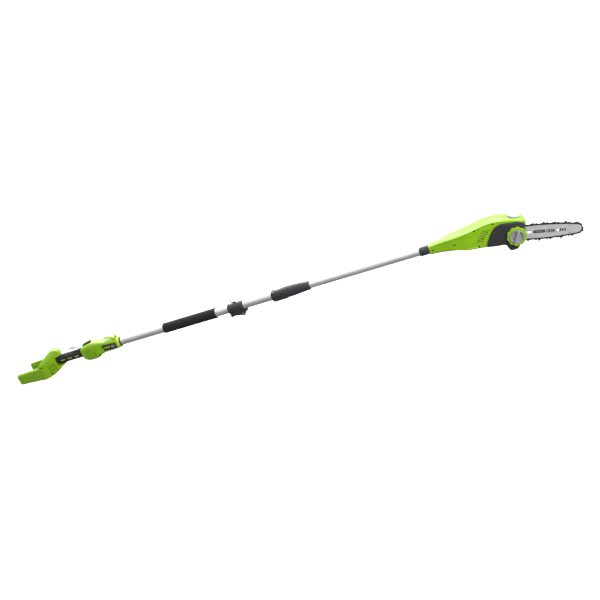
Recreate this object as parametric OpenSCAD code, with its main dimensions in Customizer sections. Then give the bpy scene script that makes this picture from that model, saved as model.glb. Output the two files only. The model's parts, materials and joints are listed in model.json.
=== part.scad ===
// Telescoping pole saw: battery-end handle, outer tube, sliding inner tube and saw head.
// X runs along the pole towards the bar tip, Z is up (oil cap side), -Y is the clamp knob side.
// The origin is on the pole's axis, in the middle of the foam grip.

/* [Pole] */
// Outside diameter of the outer tube
outer_tube_d = 32; // [31:0.1:32.2]
// Outside diameter of the sliding inner tube
inner_tube_d = 27; // [26.6:0.1:27.2]
// Wall of the outer tube
outer_wall = 1.5; // [1.4:0.1:1.6]
// Wall of the inner tube
inner_wall = 1.5; // [1.2:0.1:2]
// Rear end of the outer tube, inside the main housing
outer_tube_rear = -390; // [-391:1:-380]
// Front end of the outer tube, inside the coupling
outer_tube_front = 400; // [398:1:400]
// Rear end of the inner tube at rest
inner_tube_rear = 20; // [0:1:60]
// Front end of the inner tube, inside the saw head
inner_tube_front = 1030; // [1000:1:1040]
// Length of the foam front grip
foam_length = 222; // [180:1:230]
// Outside diameter of the foam front grip
foam_d = 40; // [38:1:44]

/* [Handle end] */
// Distance between the outer faces of the two battery arms
holder_w = 98; // [92:1:104]
// Thickness of each battery arm
arm_t = 13; // [10:1:14]
// Outside diameter of the rear grip
grip_d = 36; // [34:0.5:36]
// Width of the main housing at the medallion
housing_w = 56; // [54:1:60]
// Width of the front part of the main housing
sleeve_w = 44; // [42:1:46]
// Wall of the moulded housings
shell_t = 3; // [2.5:0.1:3.2]

/* [Saw head] */
// Width of the saw head
head_w = 76; // [74:1:78]
// Downward angle of the guide bar against the pole
bar_tilt = 12.8; // [12:0.1:13.5]
// Chain pitch between neighbouring rivets
chain_pitch = 9.525; // [9.525:0.001:9.525]
// Number of drive links in the chain
drive_link_count = 34; // [34:1:34]
// Angle of the tangent points on the sprocket and nose, which sets how far the bar bulges
bulge_angle = 7.5; // [7:0.1:8]
// Outside diameter of the scalloped tension ring
tension_ring_d = 71; // [68:1:72]
// Diameter of the clamp knob's disc
knob_d = 51; // [48:1:52]

/* [Hidden] */

lime = [0.62, 0.82, 0.06];
lime_light = [0.74, 0.90, 0.20];
charcoal = [0.17, 0.16, 0.18];
black = [0.06, 0.06, 0.06];
silver = [0.80, 0.80, 0.82];
steel = [0.55, 0.56, 0.58];
grey = [0.62, 0.62, 0.63];

eps = 0.05;
outer_r = outer_tube_d / 2;
inner_r = inner_tube_d / 2;
bore_r = outer_r - outer_wall;
grip_r = grip_d / 2;
grip_z = 1.5;
grip_rear = -583;
grip_front = -474;
inlay_x = [-564, -533, -502];
core_r = 14;
slip = 0.3;

// Battery end, main housing and head outlines in the X-Z plane, anticlockwise
holder_body = [[-652, -48], [-621, -45], [-602, -42], [-565, -25], [-549, -17.2], [-586, -17.2], [-586, 20],
    [-561, 20], [-560, 36], [-565, 45], [-573, 49.5], [-588, 50], [-600, 46], [-652, 14]];
holder_space = [[-648, -43], [-605, -38], [-590, -31], [-590, 44], [-600, 41], [-648, 12]];
holder_plan = [[-652, holder_w / 2], [-624, holder_w / 2], [-586, 28], [-560, 17], [-549, 14]];
// Outline of a battery arm from its rear end to the holder
function arm_outline(rear) = [[rear, -36], [rear + 4, -41], [-671, -46], [-645, -48], [-645, 12],
    [-668, 5.5], [rear + 4, 3], [rear, -3]];
arm_rear = [-755, -727];
// The holder's top falls away to each side along a plane through this point of the near or far side
hip_point = [-626, 7];
hip_turn = [59.4, 80];
housing_outline = [[-450, -34], [-423, -36], [-402, -33], [-378, -20], [-312, -20], [-312, 21], [-340, 22],
    [-366, 25], [-385, 33], [-402, 38.5], [-416, 39.5], [-462, 29], [-470, 20], [-472, -6], [-466, -22]];
housing_plan = [[-472, 22], [-462, housing_w / 2], [-402, housing_w / 2], [-380, sleeve_w / 2],
    [-312, sleeve_w / 2]];
housing_space_plan = [[-469, 19], [-460, housing_w / 2 - shell_t], [-403, housing_w / 2 - shell_t],
    [-381, sleeve_w / 2 - shell_t], [-316, sleeve_w / 2 - shell_t]];
head_outline = [[963, -17.5], [1027, -22], [1056, -25], [1081, -33], [1136, -40], [1161, -44], [1285, -45],
    [1305, -32], [1314, -10], [1317, 8], [1312, 18], [1304, 23.5], [1293, 28], [1266, 36], [1240, 42.5],
    [1215, 46.6], [1197, 48.4], [1175, 47], [1150, 43], [1120, 38], [1090, 35.5], [1047, 31.2],
    [1005, 25.8], [971, 19.5], [963, 18]];
head_plan = [[963, 17.5], [1000, 22], [1060, 33], [1110, head_w / 2], [1292, head_w / 2], [1317, 30]];
head_space_plan = [[966, 14.5], [1000, 18.8], [1060, 29.8], [1110, head_w / 2 - shell_t],
    [1290, head_w / 2 - shell_t], [1314, 27]];
cover_outline = [[1163, -40], [1196, -47], [1224, -50], [1231, -54], [1235, -68], [1243, -79.5],
    [1264, -79.5], [1276, -69], [1291, -58], [1302, -42], [1308, -20], [1310, 12], [1290, 20], [1258, 25],
    [1232, 29.5], [1207, 22], [1192, 6], [1175, -18]];

// Saw head layout
stud_x = 1274.4;
stud_z = -28.7;
bar_y = -19.5;
bar_t = 4;
cover_face_y = -43;
cover_seat_y = -14;
stud_r = 4;

// Chain path: two end arcs of one radius, joined by two long arcs that are tangent to them
pitch_r = 18.4;
chain_length = 2 * drive_link_count * chain_pitch;
nose_arc = 180 - 2 * bulge_angle;
side_r = (chain_length - 2 * nose_arc * PI / 180 * pitch_r) / (4 * bulge_angle * PI / 180);
half_span = (side_r - pitch_r) * sin(bulge_angle);
side_offset = (side_r - pitch_r) * cos(bulge_angle);
sprocket_u = -54.6;
bar_mid_u = sprocket_u + half_span;
nose_u = sprocket_u + 2 * half_span;
rail_drop = 3.6;
groove_floor = 9;
bar_tail_u = -33;
tang_depth = 7.4;
link_gauge = 1.3;
strap_t = 1.2;
strap_half_h = 2.6;
rivet_r = 1.6;
spindle_x = stud_x + sprocket_u * cos(bar_tilt);
spindle_z = stud_z - sprocket_u * sin(bar_tilt);
spindle_r = 5;

// Motor, on an axis that rises towards the pole
motor_tilt = 8;
motor_y = 9.5;
motor_front = -36;
motor_rear = -98;
pinion_r = 6;

// Handle controls
lever_pivot = [-446, 19];
lever_w = 20;
latch_pivot = [-320, 25.5];
screw_r = 1.6;
screw_head_r = 3.3;
screw_head_h = 2;

// Points of a closed anticlockwise outline moved inwards by d
function edge_normal(p, i) =
    let (a = p[i], b = p[(i + 1) % len(p)], d = b - a)
    [-d[1], d[0]] / norm(d);
function inset(p, d) = [for (i = [0 : len(p) - 1])
    let (n1 = edge_normal(p, (i + len(p) - 1) % len(p)), n2 = edge_normal(p, i))
    p[i] + (n1 + n2) * d / (1 + n1 * n2)];
// Closed plan outline from its half widths on the far side
function mirrored_plan(half) = concat(
    [for (p = half) [p[0], -p[1]]],
    [for (i = [len(half) - 1 : -1 : 0]) half[i]]);

// Point and heading on the chain's rivet line, inset by a distance, at a length s from the nose's
// lower tangent point
function arc_point(c, r, a) = [c[0] + r * cos(a), c[1] + r * sin(a), a + 90];
function loop_point(s, inward = 0) =
    let (nose_len = nose_arc * PI / 180 * pitch_r, side_len = 2 * bulge_angle * PI / 180 * side_r,
        t = s % chain_length, deg = 180 / PI)
    t < nose_len
        ? arc_point([nose_u, 0], pitch_r - inward, -nose_arc / 2 + t / pitch_r * deg)
    : t < nose_len + side_len
        ? arc_point([bar_mid_u, -side_offset], side_r - inward,
            90 - bulge_angle + (t - nose_len) / side_r * deg)
    : t < 2 * nose_len + side_len
        ? arc_point([sprocket_u, 0], pitch_r - inward,
            180 - nose_arc / 2 + (t - nose_len - side_len) / pitch_r * deg)
    : arc_point([bar_mid_u, side_offset], side_r - inward,
        270 - bulge_angle + (t - 2 * nose_len - side_len) / side_r * deg);

// Solid between two Y planes from an outline in X and Z
module slab(points, y0, y1) {
    translate([0, y1, 0]) rotate([90, 0, 0]) linear_extrude(y1 - y0) polygon(points);
}
// Solid between two Z planes from a half plan
module plan_block(half, z0, z1) {
    translate([0, 0, z0]) linear_extrude(z1 - z0) polygon(mirrored_plan(half));
}
module x_cylinder(r, x0, x1, y = 0, z = 0) {
    translate([x0, y, z]) rotate([0, 90, 0]) cylinder(r = r, h = x1 - x0, $fn = 64);
}
module y_cylinder(r, y0, y1, x, z) {
    translate([x, y1, z]) rotate([90, 0, 0]) cylinder(r = r, h = y1 - y0, $fn = 64);
}
module x_ring(r_out, r_in, x0, x1, z = 0) {
    difference() {
        x_cylinder(r_out, x0, x1, 0, z);
        x_cylinder(r_in, x0 - 1, x1 + 1, 0, z);
    }
}
// Everything on one side of the split plane: side -1 is near, +1 is far
module half_space(side) {
    translate([-900, side > 0 ? 0 : -200, -200]) cube([2500, 200, 400]);
}
// A screw from the near side, as [x, z, y of the head's face, y of the tip]
module screw(p) {
    y_cylinder(screw_r, p[2], p[3], p[0], p[1]);
    y_cylinder(screw_head_r, p[2], p[2] + screw_head_h, p[0], p[1]);
}
module screw_hole(p) {
    y_cylinder(screw_r + 0.1, p[2], p[3] + 0.5, p[0], p[1]);
    y_cylinder(screw_head_r + 0.2, p[2] - 20, p[2] + screw_head_h + 0.1, p[0], p[1]);
}
// The column that a screw runs in, inside a housing
module screw_boss(p) {
    y_cylinder(4.5, -40, 40, p[0], p[1]);
}

holder_screws = [[-640, 4.8, -44, 28], [-612, -34, -38, 28]];
main_screws = [[-394, -21, -25, 15], [-376, 6.5, -21, -16.3]];
// What lies above the hip on one side, down to a depth below its plane
module above_hip(side, depth) {
    translate([hip_point[0], side * holder_w / 2, hip_point[1]])
        rotate([0, hip_turn[0], side * hip_turn[1]])
            translate([-150, -150, -depth]) cube([300, 300, 100]);
}
module holder_shell(side) {
    rear = side < 0 ? arm_rear[0] : arm_rear[1];
    arm_y = side * (holder_w / 2 - arm_t);
    outer_y = side * holder_w / 2;
    difference() {
        union() {
            difference() {
                intersection() {
                    slab(holder_body, -holder_w / 2, holder_w / 2);
                    plan_block(holder_plan, -60, 60);
                    half_space(side);
                }
                above_hip(side, 0);
            }
            slab(arm_outline(rear), min(arm_y, outer_y), max(arm_y, outer_y));
            translate([rear + 6, arm_y - 2, -12]) cube([-650 - rear, 4, 5]);
        }
        difference() {
            slab(holder_space, -26, 26);
            above_hip(side, shell_t);
            for (p = holder_screws) screw_boss(p);
        }
        x_cylinder(core_r + eps, -600, -540, 0, grip_z);
        translate([-586, -50, -17.2]) cube([40, 100, 37.2]);
        translate([-654, -21, -30]) cube([8, 42, 30]);
        for (i = [0 : 4]) translate([-606 + 5 * i, side > 0 ? 24 : -50, -24]) cube([2.2, 26, 26]);
        for (p = holder_screws) screw_hole(p);
    }
}
module battery_housing_near() { color(lime) holder_shell(-1); }
module battery_housing_far() { color(lime) holder_shell(1); }
module terminal_block() {
    color(black) translate([-664, -20.5, -29.5]) cube([26, 41, 29]);
}
module terminal_blades() {
    color(steel) for (y = [-15 : 7.5 : 15]) translate([-674, y - 0.5, -24]) cube([10, 1, 18]);
}

module grip_core() {
    color(black) x_ring(core_r, core_r - 2.5, -598, -456, grip_z);
}
module rear_grip() {
    color(black) difference() {
        union() {
            x_cylinder(grip_r, grip_rear + 6, grip_front, 0, grip_z);
            x_cylinder(grip_r - 1.5, grip_rear + 3, grip_rear + 7, 0, grip_z);
            x_cylinder(grip_r - 4, grip_rear, grip_rear + 4, 0, grip_z);
        }
        x_cylinder(core_r + eps, grip_rear - 7, grip_front + 14, 0, grip_z);
        for (x = inlay_x) translate([x, -grip_r - 1, -1.8]) cube([19, 3.4, 4]);
    }
}
module grip_inlays() {
    color(lime_light) for (x = inlay_x)
        intersection() {
            translate([x + 0.1, -grip_r, -1.7]) cube([18.8, 2.3, 3.8]);
            x_cylinder(grip_r - 0.2, grip_rear + 3, grip_front + 4, 0, grip_z);
        }
}

module housing_shell(side) {
    difference() {
        intersection() {
            slab(housing_outline, -housing_w / 2, housing_w / 2);
            plan_block(housing_plan, -50, 50);
            half_space(side);
        }
        difference() {
            intersection() {
                slab(inset(housing_outline, shell_t), -housing_w / 2 + shell_t, housing_w / 2 - shell_t);
                plan_block(housing_space_plan, -50, 50);
            }
            for (p = main_screws) screw_boss(p);
            y_cylinder(4, 13, 40, lever_pivot[0], lever_pivot[1]);
            y_cylinder(4, -40, -13, lever_pivot[0], lever_pivot[1]);
        }
        x_cylinder(core_r + eps, -480, -455, 0, grip_z);
        x_cylinder(outer_r + eps, outer_tube_rear, -300);
        translate([-480, -lever_w / 2 - 0.6, 15.6]) cube([40, lever_w + 1.2, 12.9]);
        slab([[-455.5, 24], [-455.5, 45], [-419.5, 53], [-419.5, 32.5]], -9.5, 9.5);
        translate([-345, -9, 20]) cube([38, 18, 8]);
        y_cylinder(1.55, -22, 22, lever_pivot[0], lever_pivot[1]);
        for (p = main_screws) screw_hole(p);
    }
}
// Two ears that carry the latch on top of the housing
module latch_ears(side) {
    difference() {
        intersection() {
            slab([[-328, 20.5], [-312, 20.5], [-312, 29], [-328, 29]], -13, 13);
            half_space(side);
        }
        translate([-330, -8.5, 15]) cube([20, 17, 20]);
        y_cylinder(1.55, -14, 14, latch_pivot[0], latch_pivot[1]);
    }
}
module main_housing_near() {
    color(lime) {
        housing_shell(-1);
        latch_ears(-1);
    }
}
module main_housing_far() {
    color(lime) {
        housing_shell(1);
        latch_ears(1);
    }
}
medallion_at = [-424, 1];
medallion_r = 18.5;
medallion_h = 2.5;
module medallion_caps() {
    color(lime) for (side = [-1, 1])
        let (inner = side * housing_w / 2, outer = side * (housing_w / 2 + medallion_h)) {
            difference() {
                y_cylinder(medallion_r, min(inner, outer), max(inner, outer), medallion_at[0],
                    medallion_at[1]);
                for (r = [8, 14])
                    translate([medallion_at[0], outer, medallion_at[1]]) rotate([90, 0, 0])
                        rotate_extrude($fn = 64) translate([r, -1]) square([1.5, 2]);
            }
        }
}
module label_plates() {
    color(black) for (side = [-1, 1])
        slab([[-366, -7], [-318, -9], [-316, 8], [-366, 12]], side * (sleeve_w / 2 + 0.4) - 0.4,
            side * (sleeve_w / 2 + 0.4) + 0.4);
}
module front_ring() {
    color(lime_light) difference() {
        union() {
            x_cylinder(22.5, -312, -303);
            x_cylinder(21, -303, -301);
        }
        x_cylinder(outer_r + eps, -315, -298);
    }
}
module tube_seal() {
    color(black) difference() {
        union() {
            x_cylinder(19, -301, -298);
            x_cylinder(17.6, -298.5, -296);
        }
        x_cylinder(outer_r + eps, -305, -289);
    }
}
module microswitch() {
    color(black) translate([-441, -8, -6]) cube([24, 16, 14]);
    color(steel) translate([-441, -3, 8.2]) rotate([0, -4, 0]) cube([16, 6, 0.8]);
}
module control_pins() {
    color(steel) y_cylinder(1.5, -21, 21, lever_pivot[0], lever_pivot[1]);
    color(steel) y_cylinder(1.5, -12.9, 12.9, latch_pivot[0], latch_pivot[1]);
}
lever_outline = [[-513, 34.5], [-474.5, 25.4], [-467, 21.6], [-452, 17], [-446, 14.2], [-441.5, 19],
    [-446, 23.8], [-455, 23.8], [-468, 26.6], [-509, 39], [-512, 38.2]];
module trigger_lever() {
    color(grey) difference() {
        union() {
            slab(lever_outline, -lever_w / 2, lever_w / 2);
            y_cylinder(4.8, -lever_w / 2, lever_w / 2, lever_pivot[0], lever_pivot[1]);
        }
        y_cylinder(1.55, -lever_w, lever_w, lever_pivot[0], lever_pivot[1]);
    }
}
// Torsion spring beside the lever's hub, drawn as closed turns with one leg
module trigger_spring() {
    color(steel) {
        for (y = [11, 12.1])
            translate([lever_pivot[0], y, lever_pivot[1]]) rotate([90, 0, 0])
                rotate_extrude($fn = 48) translate([2.7, 0]) circle(r = 0.5, $fn = 24);
        translate([lever_pivot[0], 11.5, lever_pivot[1] - 3.1]) rotate([0, 100, 0])
            cylinder(r = 0.45, h = 12, $fn = 24);
    }
}
module lock_off_button() {
    color(black) slab([[-455, 29], [-420, 37], [-420, 42.2], [-430, 40.5], [-455, 34.6]], -9, 9);
}
module shaft_latch() {
    color(lime_light) difference() {
        union() {
            slab([[-364, 31], [-340, 29.9], [-320, 22.2], [-316.5, 25.5], [-320, 29], [-325, 32.5],
                [-345, 37.5], [-358, 36], [-364, 33]], -8, 8);
            y_cylinder(3.3, -8, 8, latch_pivot[0], latch_pivot[1]);
        }
        y_cylinder(1.55, -9, 9, latch_pivot[0], latch_pivot[1]);
    }
}
module housing_screws() {
    color(charcoal) {
        for (p = holder_screws) screw(p);
        for (p = main_screws) screw(p);
    }
}

module outer_tube() {
    color(silver) x_ring(outer_r, bore_r, outer_tube_rear, outer_tube_front);
}
module foam_grip() {
    color(black) difference() {
        union() {
            x_cylinder(foam_d / 2, -foam_length / 2 + 3, foam_length / 2 - 4);
            x_cylinder(foam_d / 2 - 2, -foam_length / 2, foam_length / 2 - 3);
            x_cylinder(foam_d / 2 + 1, foam_length / 2 - 4, foam_length / 2);
        }
        x_cylinder(outer_r + eps, -foam_length, foam_length);
    }
}

ring_lug_z = 21.4;
ring_wire_r = 1.5;
ring_mid_r = 10;
// The ring leans this far from upright towards the near side
ring_lean = 36;
ring_x = 194;
band_r = 19.4;
band_x = [164, 227];
collar_pivot = [215, -30];
collar_lug = [[165, -32], [176, -32], [180, -26], [206, -26], [208, -38], [223, -38], [225, -26],
    [236, -24], [236, -15], [164, -12]];
cam_outline = [[164, -31], [167, -35], [178, -32], [195, -34], [209, -38], [215, -37], [220, -32],
    [215, -24.5], [206, -26], [180, -27], [168, -29.5]];
module strap_collar() {
    color(charcoal) difference() {
        union() {
            x_cylinder(band_r, band_x[0], band_x[1]);
            slab(collar_lug, -11, 11);
            translate([ring_x - 3, -4, 15]) cube([6, 8, 9.6]);
        }
        x_cylinder(outer_r + eps, 150, 240);
        translate([150, -1.5, -60]) cube([90, 3, 60]);
        translate([164, -7.3, -60]) cube([63, 14.6, 38]);
        y_cylinder(3.05, -20, 20, collar_pivot[0], collar_pivot[1]);
        x_cylinder(ring_wire_r + 0.75, ring_x - 5, ring_x + 5, 0, ring_lug_z);
    }
}
module collar_bolt() {
    color(steel) {
        y_cylinder(3, -11, 11, collar_pivot[0], collar_pivot[1]);
        y_cylinder(5.5, -13.5, -11, collar_pivot[0], collar_pivot[1]);
        y_cylinder(5.5, 11, 13.5, collar_pivot[0], collar_pivot[1]);
    }
}
module collar_lever() {
    color(charcoal) difference() {
        union() {
            slab(cam_outline, -7, 7);
            y_cylinder(6.5, -7, 7, collar_pivot[0], collar_pivot[1]);
        }
        y_cylinder(3.05, -8, 8, collar_pivot[0], collar_pivot[1]);
    }
}
module strap_ring() {
    color(steel) translate([ring_x, 0, ring_lug_z]) rotate([ring_lean, 0, 0]) translate([0, 0, ring_mid_r])
        rotate([90, 0, 0]) difference() {
            rotate_extrude($fn = 96) translate([ring_mid_r, 0]) circle(r = ring_wire_r, $fn = 48);
            translate([0, 0, -3]) cylinder(r = ring_mid_r - 1, h = 6, $fn = 96);
        }
}

coupler_rear = 344;
coupler_front = 410.5;
coupler_screw_points = [[353, 13.5], [406.3, 13.5]];
collet_flange_front = 403;
// The tube is held by a short screw on each side, whose tip stops at the tube
module coupler_screw(p, side, grow) {
    tip = side * 12.5;
    neck = side * 16;
    face = side * (18 + 8 * grow);
    y_cylinder(screw_r + grow, min(tip, neck), max(tip, neck), p[0], p[1]);
    y_cylinder(screw_head_r + grow, min(neck, face), max(neck, face), p[0], p[1]);
}
module coupler_shell(side) {
    difference() {
        intersection() {
            union() {
                x_cylinder(20, coupler_rear, coupler_front);
                x_cylinder(21.8, 385, coupler_front);
                slab([[345, -19], [350, -22], [406, -22], [409, -19], [409, -8], [345, -8]], -11, 11);
            }
            half_space(side);
        }
        x_cylinder(outer_r + eps, 330, outer_tube_front + 0.1);
        x_cylinder(19.05, outer_tube_front - 0.05, collet_flange_front + 0.1);
        x_cylinder(17.2, collet_flange_front, coupler_front + 1.5);
        translate([334, -0.6, -60]) cube([80, 1.2, 60]);
        for (p = coupler_screw_points) coupler_screw(p, side, 0.15);
    }
}
module coupler_near() { color(charcoal) coupler_shell(-1); }
module coupler_far() { color(charcoal) coupler_shell(1); }
module coupler_screws() {
    color(charcoal) for (p = coupler_screw_points, side = [-1, 1])
        coupler_screw(p, side, 0);
}
module tube_collet() {
    color(black) difference() {
        union() {
            x_cylinder(19, outer_tube_front, collet_flange_front);
            x_cylinder(17, collet_flange_front - 1, 462);
            translate([462, 0, 0]) rotate([0, 90, 0]) cylinder(r1 = 17, r2 = 15.2, h = 14, $fn = 64);
        }
        x_cylinder(inner_r + 0.06, 390, 480);
        for (a = [0, 120, 240]) rotate([a, 0, 0]) translate([430, -0.8, 0]) cube([50, 1.6, 20]);
    }
}
module lock_collar() {
    color(charcoal) difference() {
        union() {
            x_cylinder(22, 411, 424);
            translate([424, 0, 0]) rotate([0, 90, 0]) cylinder(r1 = 22, r2 = 18, h = 54, $fn = 64);
            x_cylinder(17.6, 478, 493);
            translate([493, 0, 0]) rotate([0, 90, 0]) cylinder(r1 = 17.2, r2 = 16, h = 5, $fn = 64);
        }
        x_cylinder(17.35, 400, 462.5);
        translate([462.5, 0, 0]) rotate([0, 90, 0]) cylinder(r1 = 17.35, r2 = 15.55, h = 14, $fn = 64);
        x_cylinder(15.55, 476, 478);
        x_cylinder(inner_r + slip, 470, 510);
    }
}

module inner_tube() {
    color(silver) x_ring(inner_r, inner_r - inner_wall, inner_tube_rear, inner_tube_front);
}
module slide_bush() {
    color(black) x_ring(bore_r - 0.06, inner_r + eps, inner_tube_rear + 2, inner_tube_rear + 32);
}
tail_collar_rear = 926;
module tail_collar() {
    color(charcoal) difference() {
        union() {
            x_cylinder(17.2, tail_collar_rear + 3, 962.9);
            x_cylinder(16, tail_collar_rear, tail_collar_rear + 4);
        }
        x_cylinder(inner_r + eps, tail_collar_rear - 15, 980);
    }
}

head_screws_at = [[975, -1.5, -17.2, -13.8], [1056.5, -0.5, -29, 17], [1136, 32, -25, 17],
    [1205, 37, -34, 17], [1138, -31, -35, 17]];
head_space = inset(head_outline, shell_t);
// Bay for the bar and chain beside the gear case, open on the near side and as large as the side cover
bay_outline = [[1158, -60], [1330, -60], [1330, 8], [1310.5, 12.5], [1290, 20.5], [1258, 25.5], [1232, 30],
    [1206.7, 22.4], [1191.6, 6.3], [1174.6, -17.9], [1162.5, -40]];
oil_fill = [1282, 31.7];
// Cooling slots beside the side cover, in a slanted column
vent_count = 7;
vent_length = 26;
vent_tilt = 7.5;
oil_outlet = [1214, 14];
cap_tilt = 18;
cap_r = 22;
vent_h = 3;
module on_oil_fill() {
    translate([oil_fill[0], 0, oil_fill[1]]) rotate([0, cap_tilt, 0]) children();
}
module head_shell(side) {
    difference() {
        intersection() {
            slab(head_outline, -head_w / 2, head_w / 2);
            plan_block(head_plan, -60, 60);
            half_space(side);
        }
        difference() {
            intersection() {
                slab(head_space, -head_w / 2 + shell_t, head_w / 2 - shell_t);
                plan_block(head_space_plan, -60, 60);
            }
            difference() {
                slab(inset(bay_outline, -shell_t), -60, cover_seat_y + shell_t);
                translate([spindle_x - 29, -60, spindle_z - 28]) cube([58, 70, 50]);
            }
            for (p = head_screws_at) screw_boss(p);
            x_cylinder(19, 990, 998);
        }
        slab(bay_outline, -60, cover_seat_y);
        x_cylinder(inner_r + eps, 950, inner_tube_front + 1);
        y_cylinder(12, cover_seat_y - 1, 0, spindle_x, spindle_z);
        y_cylinder(stud_r + 0.1, cover_seat_y - 1, 0, stud_x, stud_z);
        for (p = head_screws_at) screw_hole(p);
        for (i = [0 : vent_count - 1], s = [-1, 1])
            translate([1162 - 4.7 * i, s > 0 ? 30 : -40, 20.4 - 5.5 * i]) rotate([0, vent_tilt, 0])
                cube([vent_length, 10, vent_h]);
        on_oil_fill() translate([0, 0, -22]) cylinder(r = 11, h = 50);
        y_cylinder(1.7, cover_seat_y - 1, 0, oil_outlet[0], oil_outlet[1]);
    }
}
module head_shell_near() { color(lime) head_shell(-1); }
module head_shell_far() { color(lime) head_shell(1); }
module head_screws() {
    color(charcoal) for (p = head_screws_at) screw(p);
}

// Frame of the motor: X runs forward along its axis, with the spindle's axis at the origin
module on_motor() {
    translate([spindle_x, motor_y, spindle_z]) rotate([0, motor_tilt, 0]) children();
}
module motor_can() {
    color(steel) on_motor() difference() {
        x_cylinder(20, motor_rear, motor_front);
        x_cylinder(17.5, motor_rear + 3, motor_front - 3);
        x_cylinder(2.56, motor_rear - 1, motor_front + 1);
    }
}
module motor_rotor() {
    color(steel) on_motor() {
        x_cylinder(2.5, motor_rear - 14, -10);
        x_ring(15, 2.5, motor_rear + 14, motor_front - 10);
        x_ring(8, 2.5, motor_rear + 5, motor_rear + 12);
        x_ring(6, 2.5, motor_rear - 12, motor_rear - 3);
        for (a = [0 : 45 : 315]) rotate([a, 0, 0])
            translate([motor_rear - 12, 5.5, -0.8]) cube([9, 14, 1.6]);
    }
}
module bevel_pinion() {
    tooth_half = 8;
    color(steel) on_motor() translate([-20.5, 0, 0]) rotate([0, 90, 0]) linear_extrude(9.5) difference() {
        polygon([for (a = [0 : 40 : 320], step = [[-tooth_half - 6, 4.6], [-tooth_half, pinion_r - 0.1],
            [tooth_half, pinion_r - 0.1], [tooth_half + 6, 4.6]])
            step[1] * [cos(a + step[0]), sin(a + step[0])]]);
        circle(r = 2.55, $fn = 64);
    }
}
case_low = 22;
case_h = 42;
module gear_case() {
    color(grey) difference() {
        union() {
            translate([spindle_x - 27, cover_seat_y + 0.2, spindle_z - case_low]) cube([54, 8, case_h]);
            translate([spindle_x - 27, 25.2, spindle_z - case_low]) cube([54, 8, case_h]);
            translate([spindle_x - 27, cover_seat_y + 5, spindle_z - case_low]) cube([54, 40, 3]);
            translate([spindle_x + 23, cover_seat_y + 5, spindle_z - case_low]) cube([4, 40, case_h]);
            translate([spindle_x - 33, -6, spindle_z - case_low]) cube([6, 34, case_h]);
            translate([spindle_x + 20, cover_seat_y + shell_t + 0.2, stud_z - 12]) cube([41, 5, 22]);
        }
        y_cylinder(11.05, -12, 30.5, spindle_x, spindle_z);
        y_cylinder(8, -20, 0, spindle_x, spindle_z);
        y_cylinder(stud_r + eps, -20, 0, stud_x, stud_z);
        on_motor() x_cylinder(7, -60, -20);
    }
}
module spindle_bearings() {
    color(steel) for (y = [-11.9, 25.3])
        difference() {
            y_cylinder(11, y, y + 5, spindle_x, spindle_z);
            y_cylinder(spindle_r + 0.05, y - 1, y + 6, spindle_x, spindle_z);
        }
}
module spindle() {
    color(steel) y_cylinder(spindle_r, -29, 30.3, spindle_x, spindle_z);
}
// The pinion's and the gear's tips stay 0.3 mm apart, so that they clear at every angle
face_gear_y = motor_y + pinion_r + 2;
module face_gear() {
    color(steel) difference() {
        union() {
            y_cylinder(18.4, face_gear_y, face_gear_y + 5, spindle_x, spindle_z);
            for (a = [0 : 15 : 345])
                translate([spindle_x, 0, spindle_z]) rotate([0, a, 0])
                    translate([10.5, face_gear_y - 1.7, -0.9]) cube([7.6, 2, 1.8]);
            y_cylinder(8, face_gear_y + 4.9, face_gear_y + 7.4, spindle_x, spindle_z);
        }
        y_cylinder(spindle_r, 0, 30, spindle_x, spindle_z);
    }
}
// The teeth stop short of the chain's tangs, so that the sprocket turns inside the still chain
sprocket_tip_r = pitch_r - tang_depth - 0.8;
module drive_sprocket() {
    color(steel) difference() {
        union() {
            y_cylinder(7.6, bar_y - 4, bar_y + 4, spindle_x, spindle_z);
            y_cylinder(sprocket_tip_r + 3, bar_y - 4.6, bar_y - 3.6, spindle_x, spindle_z);
            for (a = [0 : 60 : 300])
                translate([spindle_x, 0, spindle_z]) rotate([0, a, 0])
                    translate([6.5, bar_y - 3.6, -1.6]) cube([sprocket_tip_r - 6.6, 7.2, 3.2]);
        }
        y_cylinder(spindle_r, -40, 10, spindle_x, spindle_z);
    }
}

cover_space = inset(cover_outline, shell_t);
module side_cover() {
    color(charcoal) difference() {
        union() {
            slab(cover_outline, cover_face_y, cover_seat_y);
            y_cylinder(31, cover_face_y - 0.6, cover_face_y + 4, stud_x, stud_z);
        }
        slab(cover_space, cover_face_y + shell_t, cover_seat_y + 1);
        slab([[1262, -80], [1262, 12], [1330, 3], [1330, -80]], bar_y - 5, cover_seat_y + 1);
        y_cylinder(stud_r + 0.5, -60, 0, stud_x, stud_z);
    }
}
module bar_stud() {
    color(steel) y_cylinder(stud_r, cover_face_y - 8, cover_seat_y + 7, stud_x, stud_z);
}
module on_bar() {
    translate([stud_x, bar_y, stud_z]) rotate([0, bar_tilt, 0]) children();
}
// Hole in the bar's tail that the tension screw's pin sits in, in the bar's frame
tension_hole = [3, 12];
// Hole that the bar hangs on a peg by, at a length along the bar from the stud
peg_hole_u = 144;
peg_hole_r = 3.4;
module tension_screw() {
    color(steel) on_bar() {
        x_cylinder(1.5, -22, 7, 3.7, tension_hole[1]);
        y_cylinder(3, -1.5, 3, tension_hole[0], tension_hole[1]);
    }
}

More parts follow.
